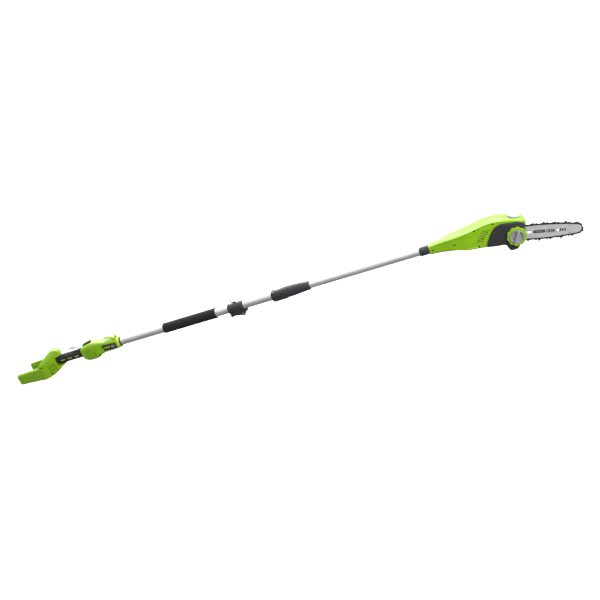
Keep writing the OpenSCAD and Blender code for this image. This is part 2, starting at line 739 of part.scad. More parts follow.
// Outline of the bar, a distance inside the rivet line, from the tail round the nose
function bar_outline(inward) =
    let (step = chain_length / 120, nose_len = nose_arc * PI / 180 * pitch_r,
        side_len = 2 * bulge_angle * PI / 180 * side_r)
    [for (i = [0 : 120])
        let (p = loop_point(chain_length - side_len + i * step, inward))
        if (i * step <= 2 * side_len + nose_len && p[0] > bar_tail_u) [p[0], p[1]]];
module bar_layer(inward, y0, y1) {
    translate([0, y1, 0]) rotate([90, 0, 0]) linear_extrude(y1 - y0) polygon(bar_outline(inward));
}
module guide_bar() {
    color(silver) on_bar() difference() {
        union() {
            bar_layer(rail_drop, -bar_t / 2, -0.75);
            bar_layer(rail_drop, 0.75, bar_t / 2);
            difference() {
                bar_layer(groove_floor, -0.8, 0.8);
                y_cylinder(10.4, -2, 2, nose_u, 0);
            }
            y_cylinder(3.4, -0.8, 0.8, nose_u, 0);
        }
        slab([[-24, -4.3], [-24, 4.3], [20, 4.3], [20, -4.3]], -3, 3);
        y_cylinder(3.2, -3, 3, tension_hole[0], tension_hole[1]);
        slab([[40, -4.5], [40, 4.5], [54, 1.2], [56, 0], [54, -1.2]], -3, 3);
        y_cylinder(peg_hole_r, -3, 3, peg_hole_u, 0);
    }
}
module nose_sprocket() {
    color(steel) on_bar() difference() {
        union() {
            y_cylinder(7.4, -0.6, 0.6, nose_u, 0);
            for (a = [0 : 60 : 300])
                translate([nose_u, 0, 0]) rotate([0, a, 0])
                    translate([6.5, -0.6, -1.5]) cube([3.1, 1.2, 3]);
        }
        y_cylinder(3.45, -2, 2, nose_u, 0);
    }
}

// Chain: rivet i sits at i pitches along the rivet line, and each link lies along its own chord.
// In a link's frame the chain moves along +X, and +Z points away from the bar.
rivet_count = 2 * drive_link_count;
module on_link(i) {
    a = loop_point(i * chain_pitch);
    b = loop_point((i + 1) * chain_pitch);
    on_bar() translate([(a[0] + b[0]) / 2, 0, (a[1] + b[1]) / 2])
        rotate([0, 180 - atan2(b[1] - a[1], b[0] - a[0]), 0]) children();
}
// A plate in the plane of the bar, with its two rivet holes
module plate(points, y0, y1) {
    translate([0, y1, 0]) rotate([90, 0, 0]) linear_extrude(y1 - y0) difference() {
        polygon(points);
        for (x = [-0.5, 0.5]) translate([x * chain_pitch, 0]) circle(r = rivet_r + eps, $fn = 24);
    }
}
end_x = chain_pitch / 2 + 2.3;
strap_points = [[-end_x, -1.8], [-end_x + 1, -strap_half_h], [end_x - 1, -strap_half_h], [end_x, -1.8],
    [end_x, 1.8], [end_x - 1, strap_half_h], [-end_x + 1, strap_half_h], [-end_x, 1.8]];
tang_points = [[-end_x + 0.2, 1.8], [-end_x + 0.2, -1.8], [-end_x + 1.6, -2.6], [-3, -3.2],
    [-1.9, -tang_depth + 0.6], [-0.8, -tang_depth], [1.2, -tang_depth], [3.4, -3.2], [end_x - 1.6, -2.6],
    [end_x - 0.2, -1.8], [end_x - 0.2, 1.8], [end_x - 1.2, 2.6], [2.8, 3], [1, 5.8], [-1.4, 5.4],
    [-2.6, 3], [-end_x + 1.2, 2.6]];
cutter_points = [[-end_x, -1.8], [-end_x + 1, -strap_half_h], [end_x - 1, -strap_half_h], [end_x, -1.8],
    [end_x, 2], [end_x - 0.4, 5.6], [end_x - 2.8, 6], [end_x - 3.8, 2.8], [1.2, 2.8], [0.4, 7.4],
    [-end_x, 6.4]];
function is_cutter(i, side) = i % 8 == 1 && side > 0 || i % 8 == 5 && side < 0;
module strap_set(cutters) {
    for (i = [1 : 2 : rivet_count - 1], side = [-1, 1])
        if (is_cutter(i, side) == cutters)
            on_link(i) {
                plate(cutters ? cutter_points : strap_points, side > 0 ? 0.7 : -0.7 - strap_t,
                    side > 0 ? 0.7 + strap_t : -0.7);
                if (cutters) translate([-end_x, side > 0 ? 0.7 : -3.6, 6]) rotate([0, -8, 0])
                    cube([end_x, 2.9, 1.1]);
            }
}
module chain_drive_links() {
    color(charcoal) for (i = [0 : 2 : rivet_count - 2])
        on_link(i) plate(tang_points, -link_gauge / 2, link_gauge / 2);
}
module chain_tie_straps() { color(charcoal) strap_set(false); }
module chain_cutters() { color(charcoal) strap_set(true); }
module chain_rivets() {
    color(steel) for (i = [0 : rivet_count - 1])
        let (p = loop_point(i * chain_pitch)) {
            on_bar() y_cylinder(rivet_r, -2.5, 2.5, p[0], p[1]);
        }
}

ring_y0 = cover_face_y - 0.9;
knob_depth = 12;
knob_turn = 32;
module tension_ring() {
    color(lime) difference() {
        union() {
            y_cylinder(tension_ring_d / 2 - 3, ring_y0 - 10, ring_y0, stud_x, stud_z);
            for (a = [0 : 36 : 324])
                y_cylinder(6, ring_y0 - 10, ring_y0, stud_x + (tension_ring_d / 2 - 6) * cos(a),
                    stud_z + (tension_ring_d / 2 - 6) * sin(a));
        }
        y_cylinder(knob_d / 2 + 0.4, ring_y0 - 20, ring_y0 + 10, stud_x, stud_z);
    }
}
module cover_knob() {
    color(grey) difference() {
        union() {
            y_cylinder(knob_d / 2, ring_y0 - knob_depth, ring_y0, stud_x, stud_z);
            translate([stud_x, 0, stud_z]) rotate([0, knob_turn, 0])
                translate([-4.5, ring_y0 - knob_depth - 5, -22]) cube([9, 6, 44]);
        }
        y_cylinder(stud_r + 0.05, cover_face_y - 8.2, 0, stud_x, stud_z);
    }
}

module oil_tank() {
    color([0.85, 0.83, 0.9, 0.6]) difference() {
        union() {
            slab([[1255, 8], [1299, 8], [1300, 14], [1294, 19], [1262, 33], [1255, 33]], -8, 30);
            on_oil_fill() translate([0, 0, -14]) cylinder(r = 10.5, h = 13.5);
        }
        slab([[1258, 11], [1296, 11], [1297, 13], [1292, 17], [1261, 30], [1258, 30]], -5, 27);
        on_oil_fill() translate([0, 0, -16]) cylinder(r = 8.5, h = 24);
    }
}
module oil_cap() {
    color([0.80, 0.78, 0.88]) on_oil_fill() difference() {
        union() {
            cylinder(r = cap_r, h = 5, $fn = 96);
            translate([0, 0, -9]) cylinder(r = 8.4, h = 9.5, $fn = 64);
        }
        for (a = [0 : 30 : 330]) rotate([0, 0, a]) translate([cap_r + 1.5, 0, -1])
            cylinder(r = 2.2, h = 7, $fn = 32);
    }
}
module oil_pump() {
    color(black) {
        translate([1196, -8, 8]) cube([26, 18, 14]);
        y_cylinder(1.5, -16, -8, oil_outlet[0], oil_outlet[1]);
    }
}

battery_housing_near();
battery_housing_far();
terminal_block();
terminal_blades();
grip_core();
rear_grip();
grip_inlays();
main_housing_near();
main_housing_far();
medallion_caps();
label_plates();
front_ring();
tube_seal();
microswitch();
control_pins();
trigger_lever();
trigger_spring();
lock_off_button();
shaft_latch();
housing_screws();
outer_tube();
foam_grip();
strap_collar();
collar_bolt();
strap_ring();
collar_lever();
coupler_near();
coupler_far();
coupler_screws();
tube_collet();
lock_collar();
inner_tube();
slide_bush();
tail_collar();
head_shell_near();
head_shell_far();
head_screws();
motor_can();
motor_rotor();
bevel_pinion();
gear_case();
spindle_bearings();
spindle();
face_gear();
drive_sprocket();
side_cover();
bar_stud();
tension_screw();
guide_bar();
nose_sprocket();
chain_drive_links();
chain_tie_straps();
chain_cutters();
chain_rivets();
tension_ring();
cover_knob();
oil_tank();
oil_cap();
oil_pump();
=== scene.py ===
"""Looks of the telescoping pole saw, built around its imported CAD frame.

X runs along the pole towards the bar tip, Z is up and -Y is the side with the clamp knob.
Shapes are given in millimetres and made in metres. Materials, stage, lights and camera use metres.
"""

import json
import math

import bmesh
import bpy
from mathutils import Matrix, Vector


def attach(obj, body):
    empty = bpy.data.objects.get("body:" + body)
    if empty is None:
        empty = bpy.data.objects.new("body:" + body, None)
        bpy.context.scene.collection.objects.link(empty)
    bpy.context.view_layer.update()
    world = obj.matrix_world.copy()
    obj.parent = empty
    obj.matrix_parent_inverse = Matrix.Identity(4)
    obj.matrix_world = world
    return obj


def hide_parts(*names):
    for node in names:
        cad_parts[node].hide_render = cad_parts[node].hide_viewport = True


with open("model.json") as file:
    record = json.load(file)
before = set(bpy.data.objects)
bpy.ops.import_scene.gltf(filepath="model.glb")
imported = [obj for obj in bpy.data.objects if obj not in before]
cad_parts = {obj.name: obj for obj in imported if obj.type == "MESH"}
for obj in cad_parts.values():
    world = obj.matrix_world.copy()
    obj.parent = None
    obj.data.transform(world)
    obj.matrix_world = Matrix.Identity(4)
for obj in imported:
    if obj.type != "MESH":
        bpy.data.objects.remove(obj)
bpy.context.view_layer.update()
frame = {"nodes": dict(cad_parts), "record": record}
MM = 0.001


# ---------------------------------------------------------------- materials
class Finish:
    """A procedural material. Its textures are laid out in the object's own coordinates."""

    def __init__(self, name, metallic=0.0, coat=0.0, specular=0.5):
        self.material = bpy.data.materials.new(name)
        self.material.use_nodes = True
        self.tree = self.material.node_tree
        self.shader = self.tree.nodes["Principled BSDF"]
        self.shader.inputs["Metallic"].default_value = metallic
        self.shader.inputs["Coat Weight"].default_value = coat
        self.shader.inputs["Specular IOR Level"].default_value = specular
        self.place = self.tree.nodes.new("ShaderNodeTexCoord").outputs["Object"]
        self.normal = None

    def add(self, kind, links=None, **values):
        """A node of that kind with its inputs set by name, and linked where a value is a socket."""
        node = self.tree.nodes.new(kind)
        for key, value in values.items():
            setattr(node, key, value)
        for key, value in (links or {}).items():
            if isinstance(value, bpy.types.NodeSocket):
                self.tree.links.new(value, node.inputs[key])
            else:
                node.inputs[key].default_value = value
        return node

    def stretched(self, scale):
        return self.add("ShaderNodeMapping", {"Vector": self.place, "Scale": scale}).outputs["Vector"]

    def noise(self, scale, detail=3.0, stretch=(1, 1, 1)):
        return self.add(
            "ShaderNodeTexNoise",
            {"Vector": self.stretched(stretch), "Scale": scale, "Detail": detail},
        ).outputs["Fac"]

    def cells(self, scale, feature="F1"):
        return self.add(
            "ShaderNodeTexVoronoi", {"Vector": self.place, "Scale": scale}, feature=feature
        ).outputs["Distance"]

    def spread(self, source, low, high, start=0.3, end=0.7):
        return self.add(
            "ShaderNodeMapRange",
            {"Value": source, "From Min": start, "From Max": end, "To Min": low, "To Max": high},
        ).outputs["Result"]

    def blend(self, factor, first, second):
        node = self.add("ShaderNodeMix", data_type="RGBA")
        self.tree.links.new(factor, node.inputs["Factor"])
        colours = [s for s in node.inputs if s.type == "RGBA"]
        for socket, colour in zip(colours, (first, second)):
            if isinstance(colour, bpy.types.NodeSocket):
                self.tree.links.new(colour, socket)
            else:
                socket.default_value = (*colour, 1)
        return next(s for s in node.outputs if s.type == "RGBA")

    def colour(self, source):
        self.tree.links.new(source, self.shader.inputs["Base Color"])

    def rough(self, source):
        self.tree.links.new(source, self.shader.inputs["Roughness"])

    def round_edges(self, radius):
        """Softens the shading of sharp edges and returns a mask that is 1 along them."""
        bevel = self.add("ShaderNodeBevel", {"Radius": radius}, samples=4).outputs["Normal"]
        plain = self.add("ShaderNodeNewGeometry").outputs["Normal"]
        facing = self.add("ShaderNodeVectorMath", {0: bevel, 1: plain}, operation="DOT_PRODUCT")
        self.normal = bevel
        return self.spread(facing.outputs["Value"], 1.0, 0.0, 0.75, 0.99)

    def bump(self, height, depth):
        links = {"Height": height, "Strength": 1.0, "Distance": depth}
        if self.normal:
            links["Normal"] = self.normal
        self.normal = self.add("ShaderNodeBump", links).outputs["Normal"]
        self.tree.links.new(self.normal, self.shader.inputs["Normal"])


def plastic(name, light, dark, worn_and_lit, grain_depth=0.00004, rough=(0.34, 0.46), coat=0.0):
    """Moulded plastic: spark-eroded grain, slow colour drift, paler edges that are partly wear and partly a
    painted highlight.
    """
    finish = Finish(name, coat=coat)
    edges = finish.round_edges(0.0006)
    drift = finish.spread(finish.noise(14.0), 0.0, 1.0)
    scuff_and_glint_patches = finish.spread(finish.noise(160.0, 6.0, (0.4, 1, 1)), 0.0, 1.0, 0.5, 0.75)
    body = finish.blend(drift, dark, light)
    # Paler colour in patches along edges: partly wear, partly a painted highlight where edges catch light.
    wear_and_highlight = finish.add("ShaderNodeMath", {0: edges, 1: scuff_and_glint_patches}, operation="MULTIPLY").outputs[0]
    finish.colour(finish.blend(wear_and_highlight, body, worn_and_lit))
    finish.rough(finish.spread(finish.noise(420.0, 4.0), *rough))
    finish.bump(finish.noise(2600.0, 2.0), grain_depth)
    return finish.material


def metal(name, light, dark, stretch, rough=(0.25, 0.4), depth=0.00002, metallic=1.0):
    """Metal with fine lines along one direction and soft blotches."""
    finish = Finish(name, metallic=metallic)
    finish.round_edges(0.0004)
    lines = finish.noise(900.0, 3.0, stretch)
    blotch = finish.spread(finish.noise(30.0), 0.0, 1.0)
    finish.colour(finish.blend(blotch, dark, light))
    finish.rough(finish.spread(lines, *rough))
    finish.bump(lines, depth)
    return finish.material


def foam(name, light, dark):
    """Closed-cell foam: small open pores over a soft, uneven skin."""
    finish = Finish(name, specular=0.25)
    pores = finish.cells(900.0)
    finish.colour(finish.blend(finish.spread(pores, 0.0, 1.0, 0.1, 0.6), dark, light))
    finish.rough(finish.spread(finish.noise(90.0), 0.75, 0.92))
    finish.bump(finish.noise(260.0, 4.0), 0.0003)
    finish.bump(pores, 0.0002)
    return finish.material


FINISHES = {
    "lime_shell": plastic("lime_shell", (0.26, 0.52, 0.001), (0.23, 0.475, 0.0005), (0.38, 0.64, 0.04),
                          coat=0.2),
    "light_lime": plastic("light_lime", (0.50, 0.74, 0.06), (0.45, 0.69, 0.04), (0.60, 0.80, 0.20)),
    "black_rubber": plastic("black_rubber", (0.018, 0.018, 0.019), (0.010, 0.010, 0.011), (0.04, 0.04, 0.04),
                            0.0001, (0.55, 0.72)),
    "foam": foam("foam", (0.022, 0.023, 0.025), (0.008, 0.008, 0.009)),
    "black_plastic": plastic("black_plastic", (0.020, 0.020, 0.021), (0.013, 0.013, 0.014),
                             (0.06, 0.06, 0.06)),
    "label": plastic("label", (0.014, 0.014, 0.015), (0.009, 0.009, 0.010), (0.03, 0.03, 0.03),
                     0.000005, (0.18, 0.26), 0.3),
    "charcoal_plastic": plastic("charcoal_plastic", (0.036, 0.033, 0.039), (0.026, 0.024, 0.028),
                                (0.10, 0.095, 0.10), 0.00005, (0.38, 0.5)),
    "grey_plastic": plastic("grey_plastic", (0.33, 0.33, 0.34), (0.28, 0.28, 0.29), (0.45, 0.45, 0.45)),
    "pole_aluminium": metal("pole_aluminium", (0.82, 0.82, 0.83), (0.75, 0.75, 0.76), (0.01, 1, 1),
                            (0.3, 0.42), metallic=0.85),
    "case_alloy": metal("case_alloy", (0.50, 0.50, 0.51), (0.42, 0.42, 0.43), (1, 1, 1), (0.4, 0.6), 0.00008),
    "steel": metal("steel", (0.45, 0.45, 0.46), (0.33, 0.33, 0.34), (1, 1, 1)),
    "bar_steel": metal("bar_steel", (0.70, 0.70, 0.71), (0.64, 0.64, 0.65), (0.03, 1, 1), (0.36, 0.5),
                       metallic=0.5),
    "dark_steel": metal("dark_steel", (0.13, 0.13, 0.135), (0.07, 0.07, 0.072), (1, 1, 1), (0.3, 0.5)),
    "oil_tank_plastic": plastic("oil_tank_plastic", (0.70, 0.68, 0.74), (0.62, 0.60, 0.66), (0.8, 0.8, 0.8)),
    "oil_cap_plastic": plastic("oil_cap_plastic", (0.50, 0.48, 0.57), (0.45, 0.43, 0.52), (0.66, 0.65, 0.72)),
}
for row in frame["record"]["subparts"]:
    slots = frame["nodes"][row["node"]].data.materials
    slots.clear()
    slots.append(FINISHES[row["material_slot"]])


# ------------------------------------------------------------------ mesh tools
def build(name, points, faces, finish):
    """A piece from points in millimetres, with its faces turned outwards."""
    mesh = bpy.data.meshes.new(name)
    mesh.from_pydata([[c * MM for c in p] for p in points], [], faces)
    work = bmesh.new()
    work.from_mesh(mesh)
    bmesh.ops.remove_doubles(work, verts=work.verts, dist=1e-6)
    bmesh.ops.delete(work, geom=[e for e in work.edges if not e.link_faces], context="EDGES")
    bmesh.ops.recalc_face_normals(work, faces=work.faces)
    work.to_mesh(mesh)
    work.free()
    mesh.materials.append(FINISHES[finish])
    piece = bpy.data.objects.new(name, mesh)
    bpy.context.scene.collection.objects.link(piece)
    return piece


def settle(piece):
    """Applies the piece's modifiers."""
    graph = bpy.context.evaluated_depsgraph_get()
    piece.data = bpy.data.meshes.new_from_object(piece.evaluated_get(graph))
    piece.modifiers.clear()
    return piece


def rounded(piece, width, segments=3, angle=30):
    edges = piece.modifiers.new("edges", "BEVEL")
    edges.width = width * MM
    edges.segments = segments
    edges.limit_method = "ANGLE"
    edges.angle_limit = math.radians(angle)
    return settle(piece)


def combine(piece, other, operation):
    step = piece.modifiers.new("combine", "BOOLEAN")
    step.object = other
    step.operation = operation
    step.solver = "EXACT"
    settle(piece)
    bpy.data.objects.remove(other)
    return piece


def carve(piece, *cutters):
    for cutter in cutters:
        combine(piece, cutter, "DIFFERENCE")
    return piece


def fuse(piece, *others):
    for other in others:
        combine(piece, other, "UNION")
    return piece


def gather(pieces):
    """Several separate pieces made into one object, under the first one's name."""
    work = bmesh.new()
    for piece in pieces:
        work.from_mesh(piece.data)
    work.to_mesh(pieces[0].data)
    work.free()
    for piece in pieces[1:]:
        bpy.data.objects.remove(piece)
    return pieces[0]


def copy_of(piece, name):
    twin = piece.copy()
    twin.data = piece.data.copy()
    twin.name = name
    bpy.context.scene.collection.objects.link(twin)
    return twin


def plane_cut(piece, a, b, c, inside):
    """Cuts away what lies beyond the plane through a, b and c, on the side away from the point inside."""
    a, b, c, inside = (Vector(p) * MM for p in (a, b, c, inside))
    normal = (b - a).cross(c - a).normalized()
    if (inside - a).dot(normal) > 0:
        normal.negate()
    work = bmesh.new()
    work.from_mesh(piece.data)
    everything = work.verts[:] + work.edges[:] + work.faces[:]
    cut = bmesh.ops.bisect_plane(work, geom=everything, plane_co=a, plane_no=normal, clear_outer=True)
    edges = [e for e in cut["geom_cut"] if isinstance(e, bmesh.types.BMEdge)]
    bmesh.ops.edgenet_fill(work, edges=edges)
    bmesh.ops.recalc_face_normals(work, faces=work.faces)
    work.to_mesh(piece.data)
    work.free()
    return piece


def smooth(piece, angle=35):
    """Smooth shading, with edges sharper than the angle kept crisp."""
    work = bmesh.new()
    work.from_mesh(piece.data)
    for face in work.faces:
        face.smooth = True
    for edge in work.edges:
        edge.smooth = len(edge.link_faces) == 2 and edge.calc_face_angle(0) < math.radians(angle)
    work.to_mesh(piece.data)
    work.free()
    return piece


def put(piece, body, finish, *nodes, angle=35):
    """Smooths the piece's shading: it rides on the body and stands for the CAD nodes, which it hides."""
    smooth(piece, angle)
    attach(piece, body)
    if nodes:
        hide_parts(*nodes)
    return piece


def prism(name, outline, y0, y1, finish):
    """A block between two Y planes, from an outline of (x, z)."""
    count = len(outline)
    points = [(x, y, z) for y in (y0, y1) for x, z in outline]
    sides = [(i, (i + 1) % count, count + (i + 1) % count, count + i) for i in range(count)]
    return build(name, points, [tuple(range(count)), tuple(range(count, 2 * count)), *sides], finish)


def block(name, low, high, finish):
    outline = [(low[0], low[2]), (high[0], low[2]), (high[0], high[2]), (low[0], high[2])]
    return prism(name, outline, low[1], high[1], finish)


def sweep(name, rings, finish):
    """A closed solid through rings that all have the same number of points."""
    count = len(rings[0])
    points = [p for ring in rings for p in ring]
    faces = [tuple(range(count)), tuple(range(len(points) - count, len(points)))]
    for k in range(len(rings) - 1):
        for i in range(count):
            j = (i + 1) % count
            faces.append((k * count + i, k * count + j, (k + 1) * count + j, (k + 1) * count + i))
    return build(name, points, faces, finish)


X_AXIS = Matrix.Identity(4)
Y_TURN = Matrix.Rotation(math.pi / 2, 4, "Z")


def on_y(x, z):
    """Turns a lathe piece onto a Y axis through (x, z), so that its length is measured along Y."""
    return Matrix.Translation((x * MM, 0, z * MM)) @ Y_TURN


def lathe(name, profile, finish, turn=X_AXIS, steps=96, shape=None):
    """A turned solid from a closed profile of (length along the axis, radius).
    shape(along, radius, angle) may change the radius round the axis."""
    count = len(profile)
    points = []
    for i in range(steps):
        angle = 2 * math.pi * i / steps
        for along, radius in profile:
            r = shape(along, radius, angle) if shape else radius
            points.append((along, r * math.cos(angle), r * math.sin(angle)))
    faces = []
    for i in range(steps):
        for k in range(count):
            a, b = i * count + k, i * count + (k + 1) % count
            step = count if i < steps - 1 else -i * count
            faces.append((a, b, b + step, a + step))
    piece = build(name, points, faces, finish)
    piece.data.transform(turn)
    return piece


def rod(name, r, x0, x1, finish, turn=X_AXIS, z=0.0):
    """A plain cylinder, used to cut and to join."""
    piece = lathe(name, [(x0, 0), (x0, r), (x1, r), (x1, 0)], finish, turn, 48)
    piece.data.transform(Matrix.Translation((0, 0, z * MM)))
    return piece


def soft_corners(profile, radius, steps=4):
    """A closed profile with every corner that has room for it rounded."""
    made = []
    count = len(profile)
    for i, corner in enumerate(profile):
        p, a, b = Vector(corner), Vector(profile[i - 1]), Vector(profile[(i + 1) % count])
        r = min(radius, (a - p).length / 2.2, (b - p).length / 2.2)
        if r < 0.05 or corner[1] == 0:
            made.append(corner)
            continue
        start, end = p + (a - p).normalized() * r, p + (b - p).normalized() * r
        for k in range(steps + 1):
            t = k / steps
            made.append(tuple(start * (1 - t) ** 2 + p * 2 * t * (1 - t) + end * t * t))
    return made


def fine(profile, step):
    """A closed profile with points added so that none are further apart than step."""
    made = []
    for i, (x, r) in enumerate(profile):
        to_x, to_r = profile[(i + 1) % len(profile)]
        parts = max(1, math.ceil(math.hypot(to_x - x, to_r - r) / step))
        made += [(x + (to_x - x) * k / parts, r + (to_r - r) * k / parts) for k in range(parts)]
    return made


def stadium(x, z, length, height, tilt=0.0, steps=6):
    """Outline of a slot with round ends, centred on (x, z) and tilted down towards +X."""
    r = height / 2
    made = []
    for sign in (1, -1):
        for k in range(steps + 1):
            a = math.radians(-90 + 180 * k / steps)
            made.append((sign * (length / 2 - r + r * math.cos(a)), sign * r * math.sin(a)))
    c, s = math.cos(math.radians(tilt)), math.sin(math.radians(tilt))
    return [(x + u * c + v * s, z - u * s + v * c) for u, v in made]


def curve(*stations):
    """A smooth function through (x, value) stations that doesn't overshoot between them."""
    xs, vs = zip(*stations)
    slopes = [(vs[i + 1] - vs[i]) / (xs[i + 1] - xs[i]) for i in range(len(xs) - 1)]
    tangents = [slopes[0]]
    for left, right in zip(slopes, slopes[1:]):
        tangents.append(0.0 if left * right <= 0 else 2 * left * right / (left + right))
    tangents.append(slopes[-1])

    def value(x):
        x = min(max(x, xs[0]), xs[-1])
        i = min(max(sum(x >= s for s in xs) - 1, 0), len(slopes) - 1)
        h = xs[i + 1] - xs[i]
        t = (x - xs[i]) / h
        return (
            vs[i] * (1 + 2 * t) * (1 - t) ** 2 + tangents[i] * h * t * (1 - t) ** 2
            + vs[i + 1] * t * t * (3 - 2 * t) + tangents[i + 1] * h * t * t * (t - 1)
        )

    return value


def ramp(value, start, end):
    t = min(max((value - start) / (end - start), 0.0), 1.0)
    return t * t * (3 - 2 * t)


def between(first, last, count):
    return [first + (last - first) * i / (count - 1) for i in range(count)]


def box_ring(x, side, low, high, half, corner, seam=0.12, arc_steps=6, side_steps=4):
    """Half of a rounded rectangle at x, from the top seam round the outside to the bottom seam."""
    corner = min(corner, half - 1, (high - low) / 2 - 0.5)
    made = [(x, seam, high)]
    made += [(x, y, high) for y in between(seam, half - corner, 4)[1:-1]]
    for centre, start in ((high - corner, 90), (low + corner, 0)):
        for k in range(arc_steps + 1):
            a = math.radians(start - 90 * k / arc_steps)
            made.append((x, half - corner + corner * math.cos(a), centre + corner * math.sin(a)))
        if start == 90:
            made += [(x, half, z) for z in between(high - corner, low + corner, side_steps + 2)[1:-1]]
    made += [(x, y, low) for y in between(half - corner, seam, 4)[1:-1]]
    made.append((x, seam, low))
    return [(px, side * py, pz) for px, py, pz in made]


# ---------------------------------------------------------------- battery end
SEAM = 0.12
WALL = 3.0
TUBE_BORE_R, INNER_TUBE_BORE_R, GRIP_CORE_BORE_R = 16.05, 13.55, 14.05
PIN_BORE_R, BOLT_BORE_R = 1.55, 3.05
HOLDER = [(-652, -48), (-621, -46), (-600, -41), (-565, -24), (-549, -17.2), (-586, -17.2), (-586, 20),
          (-561, 20), (-560, 34), (-564, 43), (-573, 49), (-588, 49.7), (-600, 46), (-652, 14)]
HOLDER_SPACE = [(-648, -43), (-605, -38), (-590, -31), (-590, 44), (-600, 41), (-648, 12)]
ARM_Y = (36.0, 49.0)
ARM_REAR = {-1: -755, 1: -727}
GRIP_Z = 1.5
HOLDER_SCREWS = [(-640, 4.8, -44, 28), (-612, -34, -38, 28)]
MAIN_SCREWS = [(-394, -21, -25, 15), (-376, 6.5, -21, -16.3)]
HEAD_SCREWS = [(975, -1.5, -17.2, -13.8), (1056.5, -0.5, -29, 17), (1136, 32, -25, 17), (1205, 37, -34, 17),
               (1138, -31, -35, 17)]
SCREW_HEAD_R = 3.3


def screw_wells(screws, finish):
    """Cutters for the recesses above the screw heads and for the shanks."""
    wells = []
    recess_r, shank_r = SCREW_HEAD_R + 0.3, 1.7
    for x, z, head, tip in screws:
        profile = [(-80, 0), (-80, recess_r), (head + 2.1, recess_r), (head + 2.1, shank_r),
                   (tip + 0.5, shank_r), (tip + 0.5, 0)]
        wells.append(lathe("well", profile, finish, on_y(x, z), 32))
    return gather(wells)


def screw_columns(screws, finish):
    return gather([rod("column", 4.6, -60, 60, finish, on_y(x, z)) for x, z, _, _ in screws])


def mirrored(planes, side):
    """The two Y planes of a block on one side, lowest first."""
    return sorted(side * y for y in planes)


def battery_half(side, name, node):
    """One half of the battery holder, with its arm: the top falls away steeply from a narrow hump."""
    finish = "lime_shell"
    body = prism(name, HOLDER, *mirrored((SEAM, 49.0), side), finish)
    inside = (-640, 0, 0)
    plane_cut(body, (-626, side * 49, 10), (-618, side * 49, -46), (-586, side * 28, -10), inside)
    plane_cut(body, (-586, side * 28, 20), (-586, side * 28, -30), (-549, side * 14, 0), inside)
    plane_cut(body, (-626, side * 49, 7), (-575, side * 14, 50.3), (-652, side * 49.4, 14), inside)
    rounded(body, 1.8, 4)
    rear = ARM_REAR[side]
    outline = [(rear, -36), (rear + 4, -41), (-671, -46), (-645, -48), (-645, 12), (-668, 5.5), (rear + 4, 3),
               (rear, -3)]
    arm = prism("arm", outline, *mirrored(ARM_Y, side), finish)
    inside = (-700, side * 42, -20)
    plane_cut(arm, (rear, side * 49, -1.5), (-668, side * 49, 1.2), (rear, side * 44, 3.4), inside)
    plane_cut(arm, (rear, side * 49, 1), (-645, side * 49, 1), (rear, side * 46, -46), inside)
    rounded(arm, 1.3, 3)
    rail_y = mirrored((34, 37), side)
    rail = block("rail", (rear + 6, rail_y[0], -12), (-650, rail_y[1], -7), finish)
    fuse(body, arm, rounded(rail, 0.6, 2))
    cavity = prism("cavity", HOLDER_SPACE, -26, 26, finish)
    plane_cut(cavity, (-626, side * 46, 5), (-575, side * 11, 48.3), (-652, side * 46.4, 12), (-640, 0, 0))
    carve(cavity, screw_columns(HOLDER_SCREWS, finish))
    slots = []
    for column in range(5):
        for row in range(4):
            outline = stadium(-616 + 6.4 * column + 0.6 * row, 0.5 - 8.6 * row, 6.6, 3.0, 90)
            slots.append(prism("slot", outline, *mirrored((24, 60), side), finish))
    carve(
        body,
        cavity,
        gather(slots),
        screw_wells(HOLDER_SCREWS, finish),
        rod("core", GRIP_CORE_BORE_R, -600, -540, finish, z=GRIP_Z),
        block("socket", (-654, -21, -30), (-646, 21, 0), finish),
    )
    put(body, "handle", finish, node)


battery_half(-1, "battery_cover_near", "battery_housing_near")
battery_half(1, "battery_cover_far", "battery_housing_far")


# ------------------------------------------------------------------- rear grip
def knurl(along, radius, angle):
    """Fine diamonds pressed into the outside of the grip, fading out at its ends."""
    if radius < 17:
        return radius
    fade = ramp(along, -572, -566) * (1 - ramp(along, -484, -478))
    rising, falling = math.sin(along * 0.9 + angle * 18), math.sin(along * 0.9 - angle * 18)
    return radius - 0.3 * fade * (abs(rising) * abs(falling)) ** 0.6


def rear_grip():
    """Knurled rubber sleeve with a fine groove near each end, and three pale inlays on its near side."""
    outer = [(-583, 14.1), (-583, 14.6), (-582, 16.2), (-579.5, 17.3), (-575, 18), (-573, 18), (-572.4, 17.6),
             (-571.6, 17.6), (-571, 18), (-479, 18), (-478.4, 17.6), (-477.6, 17.6), (-477, 18), (-474.4, 18),
             (-474, 17.6), (-474, 14.1)]
    grip = lathe("rear_grip_sleeve", fine(outer, 0.9), "black_rubber", steps=168, shape=knurl)
    grip.data.transform(Matrix.Translation((0, 0, GRIP_Z * MM)))
    put(grip, "handle", "black_rubber", "rear_grip")
    pads = [rounded(prism("pad", stadium(x + 9.5, 0.15, 18.6, 3.7), -18.15, -16.2, "light_lime"), 0.45, 3)
            for x in (-564, -533, -502)]
    put(gather(pads), "handle", "light_lime", "grip_inlays").name = "grip_inlay_pads"


rear_grip()


# --------------------------------------------------------------- main housing
MEDALLION = (-424.0, 1.0)
LATCH_PIVOT = (-320.0, 25.5)
LEVER_PIVOT = (-446.0, 19.0)
MAIN_LOW = curve((-468, -8), (-465, -17), (-460, -25), (-448, -32.5), (-436, -35.2), (-415, -35), (-402, -32),
                 (-390, -26), (-378, -21.2), (-366, -20), (-312, -20))
MAIN_HIGH = curve((-468, 18), (-465, 23.5), (-458, 28.5), (-440, 32.5), (-416, 35.6), (-402, 34.4),
                  (-385, 29.8), (-366, 24), (-345, 22), (-312, 21))
MAIN_HALF = curve((-468, 20.5), (-464, 25.5), (-457, 28), (-405, 28), (-392, 26), (-380, 22.6), (-370, 22),
                  (-312, 22))
MAIN_CORNER = curve((-468, 5), (-459, 12), (-440, 15), (-405, 15), (-380, 8), (-340, 7), (-312, 12))


